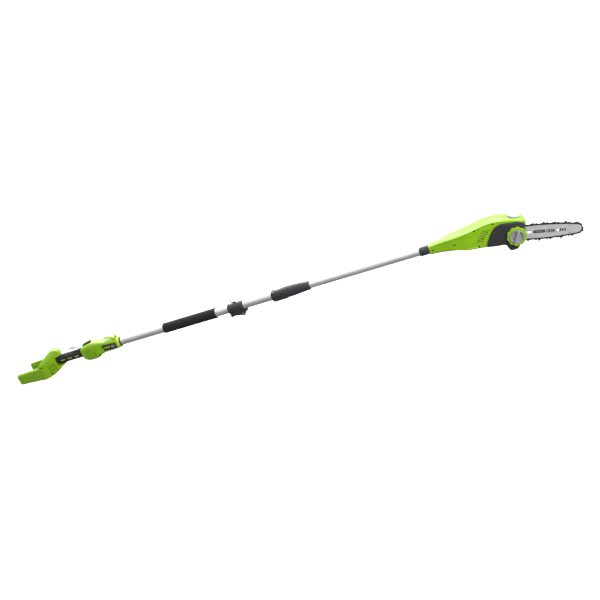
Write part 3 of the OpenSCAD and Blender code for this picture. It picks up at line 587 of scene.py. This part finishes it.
def main_rings(side, wall=0.0, seam=SEAM):
    stations = [-468, -467, -465] + [-463 + 3 * i for i in range(49)] + [-316, -312]
    if wall:
        stations = [x for x in stations if -464.9 < x < -315]
    return [box_ring(x, side, MAIN_LOW(x) + wall, MAIN_HIGH(x) - wall, MAIN_HALF(x) - wall, MAIN_CORNER(x),
                     seam) for x in stations]


def main_half(side, name, node):
    finish = "lime_shell"
    body = sweep(name, main_rings(side), finish)
    cavity = sweep("cavity", main_rings(side, WALL, -0.5), finish)
    carve(cavity, screw_columns(MAIN_SCREWS, finish))
    ears = prism("ears", [(-328, 18), (-312.4, 18), (-312.4, 27), (-316, 29), (-324, 29), (-328, 25)],
                 *mirrored((9.0, 13.0), side), finish)
    fuse(body, rounded(ears, 0.8, 3))
    y0, y1 = mirrored((27.2, 30), side)
    groove = lathe("groove", [(y0, 19.2), (y1, 19.2), (y1, 21), (y0, 21)], finish, on_y(*MEDALLION), 64)
    strip = prism("strip", [(-458, 21), (-458, 45), (-416, 53), (-416, 29)], -9.6, 9.6, finish)
    carve(
        body,
        cavity,
        groove,
        strip,
        block("lever_slot", (-480, -10.6, 15.6), (-440, 10.6, 28.5), finish),
        block("latch_slot", (-345, -8.9, 20), (-307, 8.9, 30), finish),
        rod("core", GRIP_CORE_BORE_R, -480, -455, finish, z=GRIP_Z),
        rod("tube", TUBE_BORE_R, -392, -300, finish),
        rod("lever_pin", PIN_BORE_R, -22, 22, finish, on_y(*LEVER_PIVOT)),
        rod("latch_pin", PIN_BORE_R, -14, 14, finish, on_y(*LATCH_PIVOT)),
        screw_wells(MAIN_SCREWS, finish),
    )
    put(body, "handle", finish, node)


main_half(-1, "main_cover_near", "main_housing_near")
main_half(1, "main_cover_far", "main_housing_far")


def medallions():
    """Round caps on both sides, with raised rings round a low dome."""
    profile = [(0, 0), (0, 18.4), (1.4, 18.4), (2.4, 17.3), (2.4, 15.4), (0.3, 15.0), (0.3, 13.2),
               (2.4, 12.8), (2.4, 10.0), (0.3, 9.6), (0.3, 7.8), (2.4, 7.4), (2.5, 2.2), (2.45, 0)]
    caps = []
    for side in (-1, 1):
        placed = [(side * (27.9 + depth), radius) for depth, radius in soft_corners(profile, 0.5, 3)]
        caps.append(lathe("medallions", placed, "lime_shell", on_y(*MEDALLION), 72))
    put(gather(caps), "handle", "lime_shell", "medallion_caps")


def labels():
    """Black plates with a few plain marks: a grey block and short lime bars."""
    outline = [(-371, -10.5), (-317, -12.5), (-314.5, 9.5), (-371, 14.5)]
    plates, blocks, bars = [], [], []
    for side in (-1, 1):
        plate = prism("label_covers", outline, *mirrored((21.7, 22.7), side), "label")
        plates.append(rounded(plate, 0.45, 2))
        face = mirrored((22.68, 22.8), side)
        blocks.append(prism("label_blocks", [(-338, -5), (-323, -5.5), (-322, 4.5), (-338, 5.5)], *face,
                            "grey_plastic"))
        for i in range(4):
            x = -366 + 6.4 * i
            stroke = [(x, -3.4), (x + 3.4, -3.6), (x + 5.2, 5.4), (x + 1.8, 5.6)]
            bars.append(prism("label_bars", stroke, *face, "light_lime"))
    put(gather(plates), "handle", "label", "label_plates")
    put(gather(blocks), "handle", "grey_plastic")
    put(gather(bars), "handle", "light_lime")


medallions()
labels()


def front_end():
    """Pale trim ring at the housing's mouth, and the rubber wiper that closes it round the tube."""
    ring = [(-312, 16.1), (-312, 21.6), (-310.5, 22.5), (-306, 22.3), (-302.5, 21.2), (-301, 19.6),
            (-301, 16.1)]
    put(lathe("front_ring_trim", soft_corners(ring, 0.8), "light_lime"), "handle", "light_lime", "front_ring")
    seal = [(-301, 16.1), (-301, 19), (-298.4, 19), (-297.4, 17.6), (-296, 17.3), (-296, 16.1)]
    put(lathe("tube_wiper", soft_corners(seal, 0.5), "black_rubber"), "handle", "black_rubber", "tube_seal")


front_end()


def trigger():
    """Long lever over the rear grip, ribbed where the palm presses it."""
    outline = [(-513, 34.8), (-474.5, 25.6), (-467, 21.8), (-452, 17.2), (-446, 14.6), (-441.9, 19),
               (-446, 23.4), (-455, 23.6), (-468, 26.4), (-509, 38.8), (-512.4, 38.2)]
    lever = rounded(prism("trigger_paddle", outline, -9.9, 9.9, "grey_plastic"), 1.2, 4)
    ribs = []
    for i in range(6):
        x, z = -506 + 4 * i, 37.2 - 1.21 * i
        section = [(x, z), (x + 1.6, z - 0.5), (x + 1.6, z + 0.9), (x, z + 1.4)]
        ribs.append(rounded(prism("rib", section, -7, 7, "grey_plastic"), 0.4, 2))
    fuse(lever, gather(ribs))
    carve(lever, rod("pin", PIN_BORE_R, -20, 20, "grey_plastic", on_y(*LEVER_PIVOT)))
    put(lever, "lever", "grey_plastic", "trigger_lever")


def lock_off():
    """Grooved button on top of the main housing."""
    outline = [(-455, 29), (-420, 37), (-420, 42), (-430, 40.4), (-455, 34.4)]
    button = rounded(prism("lock_off_slider", outline, -8.9, 8.9, "black_plastic"), 1.1, 4)
    grooves = [rod("groove", 0.7, -12, 12, "black_plastic", on_y(-451 + 4.2 * i, 36.0 + 1.02 * i))
               for i in range(6)]
    carve(button, gather(grooves))
    put(button, "button", "black_plastic", "lock_off_button")


def latch():
    """Curved release latch with ridges at its free end."""
    finish = "light_lime"
    outline = [(-364, 31.2), (-340, 30), (-320, 22.4), (-316.7, 25.5), (-320, 28.8), (-325, 32.3),
               (-345, 37.3), (-358, 35.9), (-363.6, 33.4)]
    body = rounded(prism("release_latch", outline, -7.9, 7.9, finish), 1.3, 4)
    ridges = []
    for i in range(5):
        low, high = (-360 + 3.4 * i, -6, 34.4 + 0.4 * i), (-358.6 + 3.4 * i, 6, 36.6 + 0.2 * i)
        ridges.append(rounded(block("ridge", low, high, finish), 0.4, 2))
    fuse(body, gather(ridges))
    carve(body, rod("pin", PIN_BORE_R, -20, 20, finish, on_y(*LATCH_PIVOT)))
    put(body, "latch", finish, "shaft_latch")


trigger()
lock_off()
latch()


# ------------------------------------------------------------ pole furniture
def foam_sleeve():
    """Front grip, with a raised bead at its forward end."""
    outer = [(-111, 16.1), (-111, 17.6), (-110, 19), (-108, 19.8), (-105, 20), (104.5, 20), (106, 20.2),
             (107, 21), (110, 21), (111, 20), (111, 16.1)]

    def soft(along, radius, angle):
        """A slightly uneven skin, as moulded foam has."""
        if radius < 17:
            return radius
        wobble = math.sin(along * 0.11 + 2.0 * math.sin(angle)) * math.sin(3 * angle + along * 0.05)
        return radius - 0.12 - 0.12 * wobble

    sleeve = lathe("foam_sleeve", fine(outer, 2.0), "foam", steps=96, shape=soft)
    put(sleeve, "handle", "foam", "foam_grip")


foam_sleeve()

STRAP_PIVOT = (215.0, -30.0)
RING_X, RING_LUG_Z = 194.0, 21.4


def strap_clamp():
    """Clamp round the outer tube, with a split foot for the cam lever and an ear for the ring."""
    finish = "charcoal_plastic"
    band = [(164, 0), (164, 18.6), (165, 19.4), (167, 19.4), (168, 18.8), (171, 18.8), (172, 19.4),
            (219, 19.4), (220, 18.8), (223, 18.8), (224, 19.4), (226, 19.4), (227, 18.6), (227, 0)]
    body = lathe("strap_clamp", soft_corners(band, 0.5, 2), finish, steps=72)
    foot = [(165, -31.6), (176, -31.6), (180, -26), (206, -26), (208.4, -37), (211, -38), (220, -38),
            (223, -36.5), (225, -26), (236, -24), (236, -15), (222, -12), (170, -12), (164.4, -16)]
    lug = prism("lug", foot, -11, 11, finish)
    ear = block("ear", (RING_X - 3, -4, 17), (RING_X + 3, 4, 24.6), finish)
    fuse(body, rounded(lug, 1.2, 3), rounded(ear, 0.7, 3))
    carve(
        body,
        rod("tube", TUBE_BORE_R, 150, 240, finish),
        block("slit", (150, -1.5, -60), (240, 1.5, -10), finish),
        block("lever_well", (164, -7.3, -60), (227, 7.3, -22), finish),
        rod("bolt", BOLT_BORE_R, -20, 20, finish, on_y(*STRAP_PIVOT)),
        rod("eye", 2.25, RING_X - 5, RING_X + 5, finish, z=RING_LUG_Z),
    )
    put(body, "handle", finish, "strap_collar")


def cam_lever():
    """Lever with a round hub, lying along the underside of the strap clamp."""
    finish = "charcoal_plastic"
    hub_r = 6.4
    hub = [(STRAP_PIVOT[0] + hub_r * math.cos(a), STRAP_PIVOT[1] + hub_r * math.sin(a))
           for a in (math.radians(-90 + 15 * k) for k in range(14))]
    handle = [(206, -26), (180, -27), (168, -29.5), (164.4, -31), (167, -34.8), (178, -32), (195, -34),
              (206, -37)]
    lever = rounded(prism("clamp_lever", hub + handle, -6.9, 6.9, finish), 0.8, 3, 50)
    carve(lever, rod("bolt", BOLT_BORE_R, -20, 20, finish, on_y(*STRAP_PIVOT)))
    put(lever, "cam", finish, "collar_lever")


strap_clamp()
cam_lever()

COUPLER_SCREWS = [(353, 13.5), (406.3, 13.5)]


def coupler():
    """Two half shells screwed round the outer tube's end, with a thicker front band and a flat rib below."""
    finish = "charcoal_plastic"
    barrel = [(344, 0), (344, 18.6), (345.4, 20), (384, 20), (386.4, 21.8), (409, 21.8), (410.5, 20.6),
              (410.5, 0)]
    whole = lathe("coupler", soft_corners(barrel, 0.8, 3), finish, steps=72)
    keel = [(345.6, -8), (345.6, -18.7), (350.5, -22.3), (404.4, -22.3), (407.6, -18.9), (407.6, -8)]
    rib = prism("rib", keel, -10.7, 10.7, finish)
    fuse(whole, rounded(rib, 1.1, 3, 50))
    fuse(whole, rod("boss", 4.8, -16.6, 16.6, finish, on_y(*COUPLER_SCREWS[0])))
    well = [(30, 0), (30, SCREW_HEAD_R + 0.15), (16, SCREW_HEAD_R + 0.15), (16, 1.75), (12.2, 1.75),
            (12.2, 0)]
    wells = [lathe("well", [(side * depth, radius) for depth, radius in well], finish, on_y(x, z), 32)
             for x, z in COUPLER_SCREWS for side in (-1, 1)]
    carve(
        whole,
        gather(wells),
        rod("tube", TUBE_BORE_R, 330, 400.1, finish),
        rod("collet", 19.05, 399.95, 403.1, finish),
        rod("mouth", 17.2, 402, 412, finish),
    )
    far = copy_of(whole, "coupler_cover_far")
    whole.name = "coupler_cover_near"
    for piece, side, node in ((whole, -1, "coupler_near"), (far, 1, "coupler_far")):
        seam = side * 0.1
        plane_cut(piece, (300, seam, 0), (400, seam, 0), (300, seam, 50), (350, side * 18, 0))
        put(piece, "handle", finish, node)


def twist_collar():
    """Tapered locking collar, fluted for the hand, with a plain rim at its front."""
    outer = [(411, 17.4), (411, 21.2), (412, 22), (423, 22), (424.4, 21.4), (428, 21.7), (474, 18.3),
             (478, 18), (478.6, 17.6), (491, 17.6), (493, 17.2), (496.8, 16.3), (498, 15.4), (498, 13.9),
             (478, 13.9), (478, 15.6), (476, 15.6), (462.5, 17.4)]

    def flutes(along, radius, angle):
        inside_wall = along > 476 and radius < 15.7 or along <= 476 and radius < 17.45
        if inside_wall:
            return radius
        window = ramp(along, 427, 433) * (1 - ramp(along, 468, 474))
        return radius - 0.9 * window * max(0.0, math.cos(14 * angle)) ** 3

    collar = lathe("twist_lock", fine(outer, 1.6), "charcoal_plastic", steps=168, shape=flutes)
    put(collar, "twist", "charcoal_plastic", "lock_collar")


def head_collar():
    """Dark collar where the inner tube enters the head."""
    outer = [(926, 13.6), (926, 15.2), (927, 16), (928.6, 16.2), (929.4, 17.2), (962.9, 17.2), (962.9, 13.6)]
    collar = lathe("head_collar", soft_corners(outer, 0.4, 2), "charcoal_plastic")
    put(collar, "extension", "charcoal_plastic", "tail_collar")


coupler()
twist_collar()
head_collar()


# ------------------------------------------------------------------- saw head
STUD = (1274.4, -28.7)
BAY_Y = -14.0
BAY = [(1158, -60), (1330, -60), (1330, 8), (1310.5, 12.5), (1290, 20.5), (1258, 25.5), (1232, 30),
       (1206.7, 22.4), (1191.6, 6.3), (1174.6, -17.9), (1162.5, -40)]
BAY_WALL = [(1154, -64), (1334, -64), (1334, 10.5), (1312, 15.6), (1291, 23.5), (1258, 28.6), (1231, 33.2),
            (1204.7, 24.8), (1189, 8), (1172, -16.4), (1159, -41)]
OIL_FILL = (1282, 31.7)
CAP_TILT = 18
VENT_COUNT, VENT_LENGTH, VENT_TILT = 7, 26, 7.5
GEAR_AXIS = (1221.2, -16.6)
HEAD_CREST = curve((963, 17.8), (975, 20.3), (1005, 25), (1047, 30.5), (1090, 34.6), (1120, 37.4),
                   (1150, 42), (1175, 46.2), (1197, 47.6), (1215, 45.6), (1240, 41.4), (1266, 35),
                   (1293, 27), (1304, 22.6), (1311, 17), (1315, 11), (1317, 6))
HEAD_SHOULDER = curve((963, 11.5), (1000, 15.5), (1042, 20.5), (1090, 27.5), (1130, 34), (1166, 39.5),
                      (1200, 42), (1215, 40.6), (1243, 34.2), (1270, 26.5), (1300, 18), (1311, 10),
                      (1317, 4))
HEAD_LOW = curve((963, -17.4), (1027, -21.8), (1056, -25), (1081, -32), (1110, -37.5), (1136, -40.5),
                 (1161, -43.6), (1200, -44.6), (1285, -44.6), (1304, -32), (1313, -12), (1317, -3))
HEAD_HALF = curve((963, 17.4), (1000, 22), (1060, 33), (1110, 37.9), (1292, 37.9), (1307, 35), (1317, 29))
HEAD_FLATNESS = curve((963, 2.0), (1215, 2.2), (1262, 6), (1317, 6))


def panel_depth(x, z):
    """How far the head's side lies below its outer width: a crease and a scoop that lead to the vents."""
    crease = 19.5 - 0.055 * (x - 1063)
    below_crease = ramp(crease - z, 0, 1.4) * ramp(x, 1048, 1066) * (1 - ramp(x, 1128, 1156))
    scoop = -27 + 0.30 * (x - 1092)
    below_scoop = ramp(scoop - z, 0, 2.2) * ramp(x, 1084, 1100) * (1 - ramp(x, 1142, 1158))
    return 0.9 * below_crease + 1.6 * below_scoop


def head_ring(x, side, wall=0.0, seam=SEAM):
    """Half a section of the head: domed top, shoulder, a step in, the side panel and the belly."""
    half, crest, low = HEAD_HALF(x) - wall, HEAD_CREST(x) - wall, HEAD_LOW(x) + wall
    shoulder = min(HEAD_SHOULDER(x) - 0.4 * wall, crest - 1.0)
    drop, power = crest - shoulder, HEAD_FLATNESS(x)
    made = [(x, seam, crest)]
    for t in (0.12, 0.25, 0.38, 0.5, 0.6, 0.69, 0.77, 0.84, 0.9, 0.95, 0.985):
        made.append((x, half * t, crest - drop * 0.75 * t**power))
    made.append((x, half, shoulder + 0.06 * drop))
    step = 0.8 * ramp(x, 968, 990) * (1 - ramp(x, 1286, 1304))
    made.append((x, half - 0.1, shoulder - 0.6))
    made.append((x, half - step, shoulder - 1.3))
    belly = min(9.0, 0.28 * (shoulder - low))
    for z in between(shoulder - 2.2, low + belly, 22):
        made.append((x, half - step - panel_depth(x, z), z))
    for k in range(1, 7):
        a = math.radians(15 * k)
        made.append((x, half - step - belly * (1 - math.cos(a)), low + belly * (1 - math.sin(a))))
    made += [(x, y, low) for y in between(half - step - belly, seam, 4)[1:-1]]
    made.append((x, seam, low))
    return [(px, side * py, pz) for px, py, pz in made]


def head_rings(side, wall=0.0, seam=SEAM):
    stations = [963, 964] + [967 + 3 * i for i in range(115)] + [1312, 1314, 1315.8, 1317]
    if wall:
        stations = [x for x in stations if 966 <= x <= 1312]
    return [head_ring(x, side, wall, seam) for x in stations]


def vent_place(i):
    return 1175 - 4.7 * i, 19.3 - 5.5 * i


def filler_axis():
    """Turns a lathe piece onto the oil filler's axis, which leans forward out of the head."""
    place = Matrix.Translation((OIL_FILL[0] * MM, 0, OIL_FILL[1] * MM))
    return place @ Matrix.Rotation(math.radians(CAP_TILT - 90), 4, "Y")


def head_half(side, name, node):
    finish = "lime_shell"
    body = sweep(name, head_rings(side), finish)
    cavity = sweep("cavity", head_rings(side, WALL, -0.5), finish)
    carve(cavity, screw_columns(HEAD_SCREWS, finish))
    if side < 0:
        carve(cavity, prism("bay_wall", BAY_WALL, -60, BAY_Y + WALL, finish))
    vents = []
    for i in range(VENT_COUNT):
        outline = stadium(*vent_place(i), VENT_LENGTH, 3.0, VENT_TILT)
        vents.append(prism("vent", outline, *mirrored((30, 60), side), finish))
    carve(
        body,
        cavity,
        gather(vents),
        screw_wells(HEAD_SCREWS, finish),
        rod("tube", INNER_TUBE_BORE_R, 950, 1031, finish),
    )
    if side < 0:
        x, z = GEAR_AXIS
        window = block("gear_window", (x - 29, -20, z - 28), (x + 29, 10, z + 22), finish)
        bay = prism("bay", BAY, -60, BAY_Y, finish)
        carve(body, bay, window, rod("stud", 4.1, -15, 0, finish, on_y(*STUD)))
    carve(body, rod("filler", 11, -22, 28, finish, filler_axis()))
    put(body, "extension", finish, node)


def vent_lips_painted_highlight():
    """A thin raised lip along the lower edge of every cooling slot, in pale lime that paints a highlight on
    the bars between the slots.
    """
    lips = []
    for side in (-1, 1):
        for i in range(VENT_COUNT):
            x, z = vent_place(i)
            outline = stadium(x - 0.3, z - 2.3, VENT_LENGTH, 1.3, VENT_TILT)
            # Pale lime lips: a painted highlight on the bars between the vents.
            lips.append(prism("vent_lips_painted_highlight", outline, *mirrored((36.5, 37.9), side), "light_lime"))
    put(gather(lips), "extension", "light_lime")


head_half(-1, "head_cover_near", "head_shell_near")
head_half(1, "head_cover_far", "head_shell_far")
vent_lips_painted_highlight()


def oil_cap():
    """Filler cap: a low dome with a scalloped rim and a raised bar to turn it by."""
    finish = "oil_cap_plastic"
    turn = filler_axis()
    profile = [(0.1, 0), (0.1, 21.6), (0.8, 21.9), (2.6, 21.9), (3.9, 21.0), (4.3, 19.4), (4.35, 17.6),
               (3.4, 16.8), (3.3, 0)]

    def scallops(_along, radius, angle):
        return radius - 0.7 * ramp(radius, 17.5, 20.5) * max(0.0, math.cos(12 * angle)) ** 4

    cap = lathe("oil_filler_cap", fine(soft_corners(profile, 0.6, 3), 1.2), finish, turn, 144, scallops)
    bar = prism("bar", stadium(0, 0, 31, 8.8), 3.2, 4.9, finish)
    rounded(bar, 0.7, 3)
    bar.data.transform(turn @ Matrix.Rotation(-math.pi / 2, 4, "Z"))
    plug = rod("plug", 8.35, -9, 0.3, finish, turn)
    fuse(cap, bar, plug)
    put(cap, "filler", finish, "oil_cap")


oil_cap()

COVER = [(1163, -40), (1196, -46.6), (1224, -49.8), (1230.6, -53.6), (1234.8, -67), (1238.5, -75),
         (1244.5, -79), (1263, -79), (1269, -75.5), (1276, -68.6), (1290, -58), (1302, -42), (1308, -20),
         (1310, 12), (1290, 20), (1258, 25), (1244, 28.2), (1232, 29.4), (1220, 27.2), (1207, 22),
         (1192, 6), (1175, -18)]
COVER_SPACE = [(1167, -37), (1196, -43.4), (1226, -46.6), (1237, -54), (1240, -68), (1247, -75.5),
               (1261, -75.5), (1288, -55), (1299, -41), (1305, -20), (1306.8, 10), (1289, 17),
               (1257, 22), (1232, 26.2), (1209, 19.4), (1194.5, 4), (1178, -19)]
COVER_Y = -43.0
BAR_Y = -19.5


def side_cover():
    """Cover over the sprocket: rounded rim, a raised seat for the clamp knob and a groove along its top."""
    finish = "charcoal_plastic"
    cover = prism("sprocket_cover", COVER, COVER_Y, BAY_Y, finish)
    rounded(cover, 2.4, 5)
    cavity = prism("cavity", COVER_SPACE, COVER_Y + WALL, BAY_Y + 2, finish)
    disc = [(COVER_Y - 0.6, 3), (COVER_Y - 0.6, 30.4), (COVER_Y - 0.1, 31), (COVER_Y + 4, 31),
            (COVER_Y + 4, 3)]
    seat = lathe("seat", soft_corners(disc, 0.4, 2), finish, on_y(*STUD), 96)
    window = prism("window", [(1262, -85), (1262, 12), (1330, 3), (1330, -85)], BAR_Y - 5, BAY_Y + 2, finish)
    groove = [(1187.5, -8), (1203.6, 13), (1213, 19), (1233, 24), (1257, 20), (1257, 21.2), (1233, 25.3),
              (1212, 20.2), (1202.4, 14), (1186.3, -7.2)]
    carve(cover, cavity)
    fuse(cover, seat)
    carve(cover, window, prism("groove", groove, COVER_Y - 1, COVER_Y + 0.7, finish),
          rod("stud", 4.5, -60, 0, finish, on_y(*STUD)))
    foot_grooves = []
    for x in (1241 + 6 * i for i in range(4)):
        outline = [(x, -76), (x + 2.4, -76), (x + 2.4, -61), (x, -61)]
        foot_grooves.append(prism("foot_groove", outline, COVER_Y - 1, COVER_Y + 0.9, finish))
    carve(cover, gather(foot_grooves))
    put(cover, "extension", finish, "side_cover")


side_cover()

RING_Y0, RING_DEPTH = -43.9, 10.0
KNOB_DEPTH, KNOB_TURN = 12.0, 58
BAR_TILT = 12.8


def clamp_parts():
    """Scalloped tension ring, and the clamp knob that turns inside it."""
    def scallops(_along, radius, angle):
        if radius < 27:
            return radius
        return radius - 2.6 * (0.5 - 0.5 * math.cos(10 * angle)) ** 1.5

    face = RING_Y0 - RING_DEPTH
    profile = [(RING_Y0, 25.9), (RING_Y0, 33.6), (RING_Y0 - 1.2, 35.5), (face + 1.6, 35.5),
               (face + 0.3, 34.2), (face, 32.6), (face, 30.2), (face + 0.9, 29.4), (face + 0.9, 27.6),
               (face, 26.9), (face, 25.9)]
    profile = fine(soft_corners(profile, 0.7, 3), 1.4)
    ring = lathe("tension_dial", profile, "lime_shell", on_y(*STUD), 200, scallops)
    put(ring, "tensioner", "lime_shell", "tension_ring")

    front = RING_Y0 - KNOB_DEPTH
    dish = [(RING_Y0, 0), (RING_Y0, 25.4), (front + 1, 25.4), (front, 24.4), (front, 22.6),
            (front + 1.2, 21.4), (front + 4.6, 19.5), (front + 5.2, 16), (front + 5.2, 0)]
    knob = lathe("clamp_knob", soft_corners(dish, 0.8, 3), "grey_plastic", on_y(*STUD), 96)
    grip = [(-23, -3.6), (-17, -4.4), (-8, -3.7), (0, -3.5), (8, -3.7), (17, -4.4), (23, -3.6), (23, 3.6),
            (17, 4.4), (8, 3.7), (0, 3.5), (-8, 3.7), (-17, 4.4), (-23, 3.6)]
    c, s = math.cos(math.radians(KNOB_TURN)), math.sin(math.radians(KNOB_TURN))
    turned = [(STUD[0] + u * c - v * s, STUD[1] + u * s + v * c) for u, v in grip]
    handle = rounded(prism("bar", turned, front - 5, front + 6, "grey_plastic"), 1.3, 4)
    fuse(knob, handle)
    carve(knob, rod("stud", 4.05, COVER_Y - 8.2, 0, "grey_plastic", on_y(*STUD)))
    put(knob, "knob", "grey_plastic", "cover_knob")


clamp_parts()


def bar_marks():
    """Plain printed marks on the bar's near face: an oval badge, a row of strokes and small ticks."""
    along_bar = Matrix.Translation((STUD[0] * MM, BAR_Y * MM, STUD[1] * MM)) @ Matrix.Rotation(
        math.radians(BAR_TILT), 4, "Y")
    face = (-2.12, -2.01)
    shapes = [stadium(80, 0.5, 42, 11, 0, 10)]
    strokes = ((105, 3), (110, 1.8), (113.4, 3.8), (119, 1.6), (122, 3), (126.6, 3.8), (132, 1.8))
    shapes += [[(x, -6), (x + w, -6), (x + w, 6), (x, 6)] for x, w in strokes]
    shapes += [[(149, -5.5), (154, -5.5), (156.5, 5.5), (151.5, 5.5)],
               [(158, -5.5), (166, -1), (166, 1.5), (158, 5.5)],
               [(168, -5.5), (172, -5.5), (172, 5.5), (168, 5.5)]]
    shapes += [[(182, s * 15), (190, s * 13.6), (182, s * 12.4)] for s in (-1, 1)]
    marks = [prism("bar_print", shape, *face, "black_plastic") for shape in shapes]
    lines = [prism("badge_lines", stadium(u, v, length, 1.1, 0, 4), -2.2, -2.11, "grey_plastic")
             for u, v, length in ((80, 2.4, 28), (80, 0.3, 32), (80, -1.8, 24))]
    for group, finish in ((marks, "black_plastic"), (lines, "grey_plastic")):
        piece = gather(group)
        piece.data.transform(along_bar)
        put(piece, "extension", finish)


bar_marks()


# ------------------------------------------------------------ stage, light, camera
def stage_floor():
    """A wide pale floor well below the tool, which is held in the air."""
    mesh = bpy.data.meshes.new("floor")
    size, drop = 300.0, -1.2
    corners = [(-size, -size, drop), (size, -size, drop), (size, size, drop), (-size, size, drop)]
    mesh.from_pydata(corners, [], [(0, 1, 2, 3)])
    floor = bpy.data.objects.new("floor", mesh)
    bpy.context.scene.collection.objects.link(floor)
    finish = Finish("floor", specular=0.0)
    finish.colour(finish.blend(finish.noise(0.4), (0.93, 0.93, 0.93), (0.95, 0.95, 0.95)))
    finish.shader.inputs["Emission Color"].default_value = (1, 1, 1, 1)
    finish.shader.inputs["Emission Strength"].default_value = 0.35
    mesh.materials.append(finish.material)
    floor.visible_glossy = False
    floor.visible_diffuse = False


def sky():
    """Soft studio surround: bright above and behind the tool, darker towards the front and below."""
    world = bpy.data.worlds.new("studio")
    bpy.context.scene.world = world
    world.use_nodes = True
    tree = world.node_tree
    place = tree.nodes.new("ShaderNodeTexCoord").outputs["Generated"]
    towards = tree.nodes.new("ShaderNodeVectorMath")
    towards.operation = "DOT_PRODUCT"
    towards.inputs[1].default_value = (0.0, 0.55, 0.83)
    tree.links.new(place, towards.inputs[0])
    height = tree.nodes.new("ShaderNodeMapRange")
    height.inputs["From Min"].default_value = -1.0
    tree.links.new(towards.outputs["Value"], height.inputs["Value"])
    shades = tree.nodes.new("ShaderNodeValToRGB")
    tree.links.new(height.outputs["Result"], shades.inputs["Fac"])
    stops = [(0.0, 0.22), (0.15, 0.25), (0.4, 0.50), (0.6, 1.0), (1.0, 1.3)]
    while len(shades.color_ramp.elements) < len(stops):
        shades.color_ramp.elements.new(0.5)
    for element, (position, grey) in zip(shades.color_ramp.elements, stops):
        element.position = position
        element.color = (grey, grey, grey, 1)
    seen = tree.nodes.new("ShaderNodeLightPath").outputs["Is Camera Ray"]
    mix = tree.nodes.new("ShaderNodeMixShader")
    surround = tree.nodes["Background"]
    tree.links.new(shades.outputs["Color"], surround.inputs["Color"])
    plain = tree.nodes.new("ShaderNodeBackground")
    plain.inputs["Color"].default_value = (1, 1, 1, 1)
    tree.links.new(seen, mix.inputs["Fac"])
    tree.links.new(surround.outputs[0], mix.inputs[1])
    tree.links.new(plain.outputs[0], mix.inputs[2])
    tree.links.new(mix.outputs[0], tree.nodes["World Output"].inputs["Surface"])


def softbox(name, place, aim, size, power):
    """A square lamp at one point, turned to another."""
    light = bpy.data.lights.new(name, "AREA")
    light.size = size
    light.energy = power
    lamp = bpy.data.objects.new(name, light)
    bpy.context.scene.collection.objects.link(lamp)
    lamp.location = place
    lamp.rotation_mode = "QUATERNION"
    lamp.rotation_quaternion = (Vector(aim) - Vector(place)).to_track_quat("-Z", "Y")
    lamp.visible_camera = False


def camera():
    """Looks at the pole from its knob side, a little above it, rolled so that the pole climbs."""
    turn, rise, roll = math.radians(15), math.radians(22), math.radians(22.17)
    distance, target = 3.78, Vector((0.4396, 0.0, -0.0475))
    back = Vector((math.sin(turn) * math.cos(rise), -math.cos(turn) * math.cos(rise), math.sin(rise)))
    right = Vector((0, 0, 1)).cross(back).normalized()
    up = back.cross(right)
    rolled = right * math.cos(roll) - up * math.sin(roll)
    upward = right * math.sin(roll) + up * math.cos(roll)
    data = bpy.data.cameras.new("camera")
    data.lens, data.sensor_width = 60.0, 36.0
    data.clip_start, data.clip_end = 0.1, 900.0
    eye = bpy.data.objects.new("camera", data)
    bpy.context.scene.collection.objects.link(eye)
    eye.matrix_world = Matrix.Translation(target + back * distance) @ Matrix(
        (rolled, upward, back)).transposed().to_4x4()
    bpy.context.scene.camera = eye


stage_floor()
sky()
softbox("key", place=(3.0, -1.5, 0.9), aim=(0.9, 0, 0), size=1.6, power=65)
softbox("back", place=(-0.8, 2.2, 2.2), aim=(-0.4, 0, 0), size=2.6, power=110)
softbox("head_top", place=(1.7, 2.2, 2.2), aim=(1.2, 0, 0), size=2.0, power=45)
camera()
bpy.context.scene.view_settings.view_transform = "Standard"
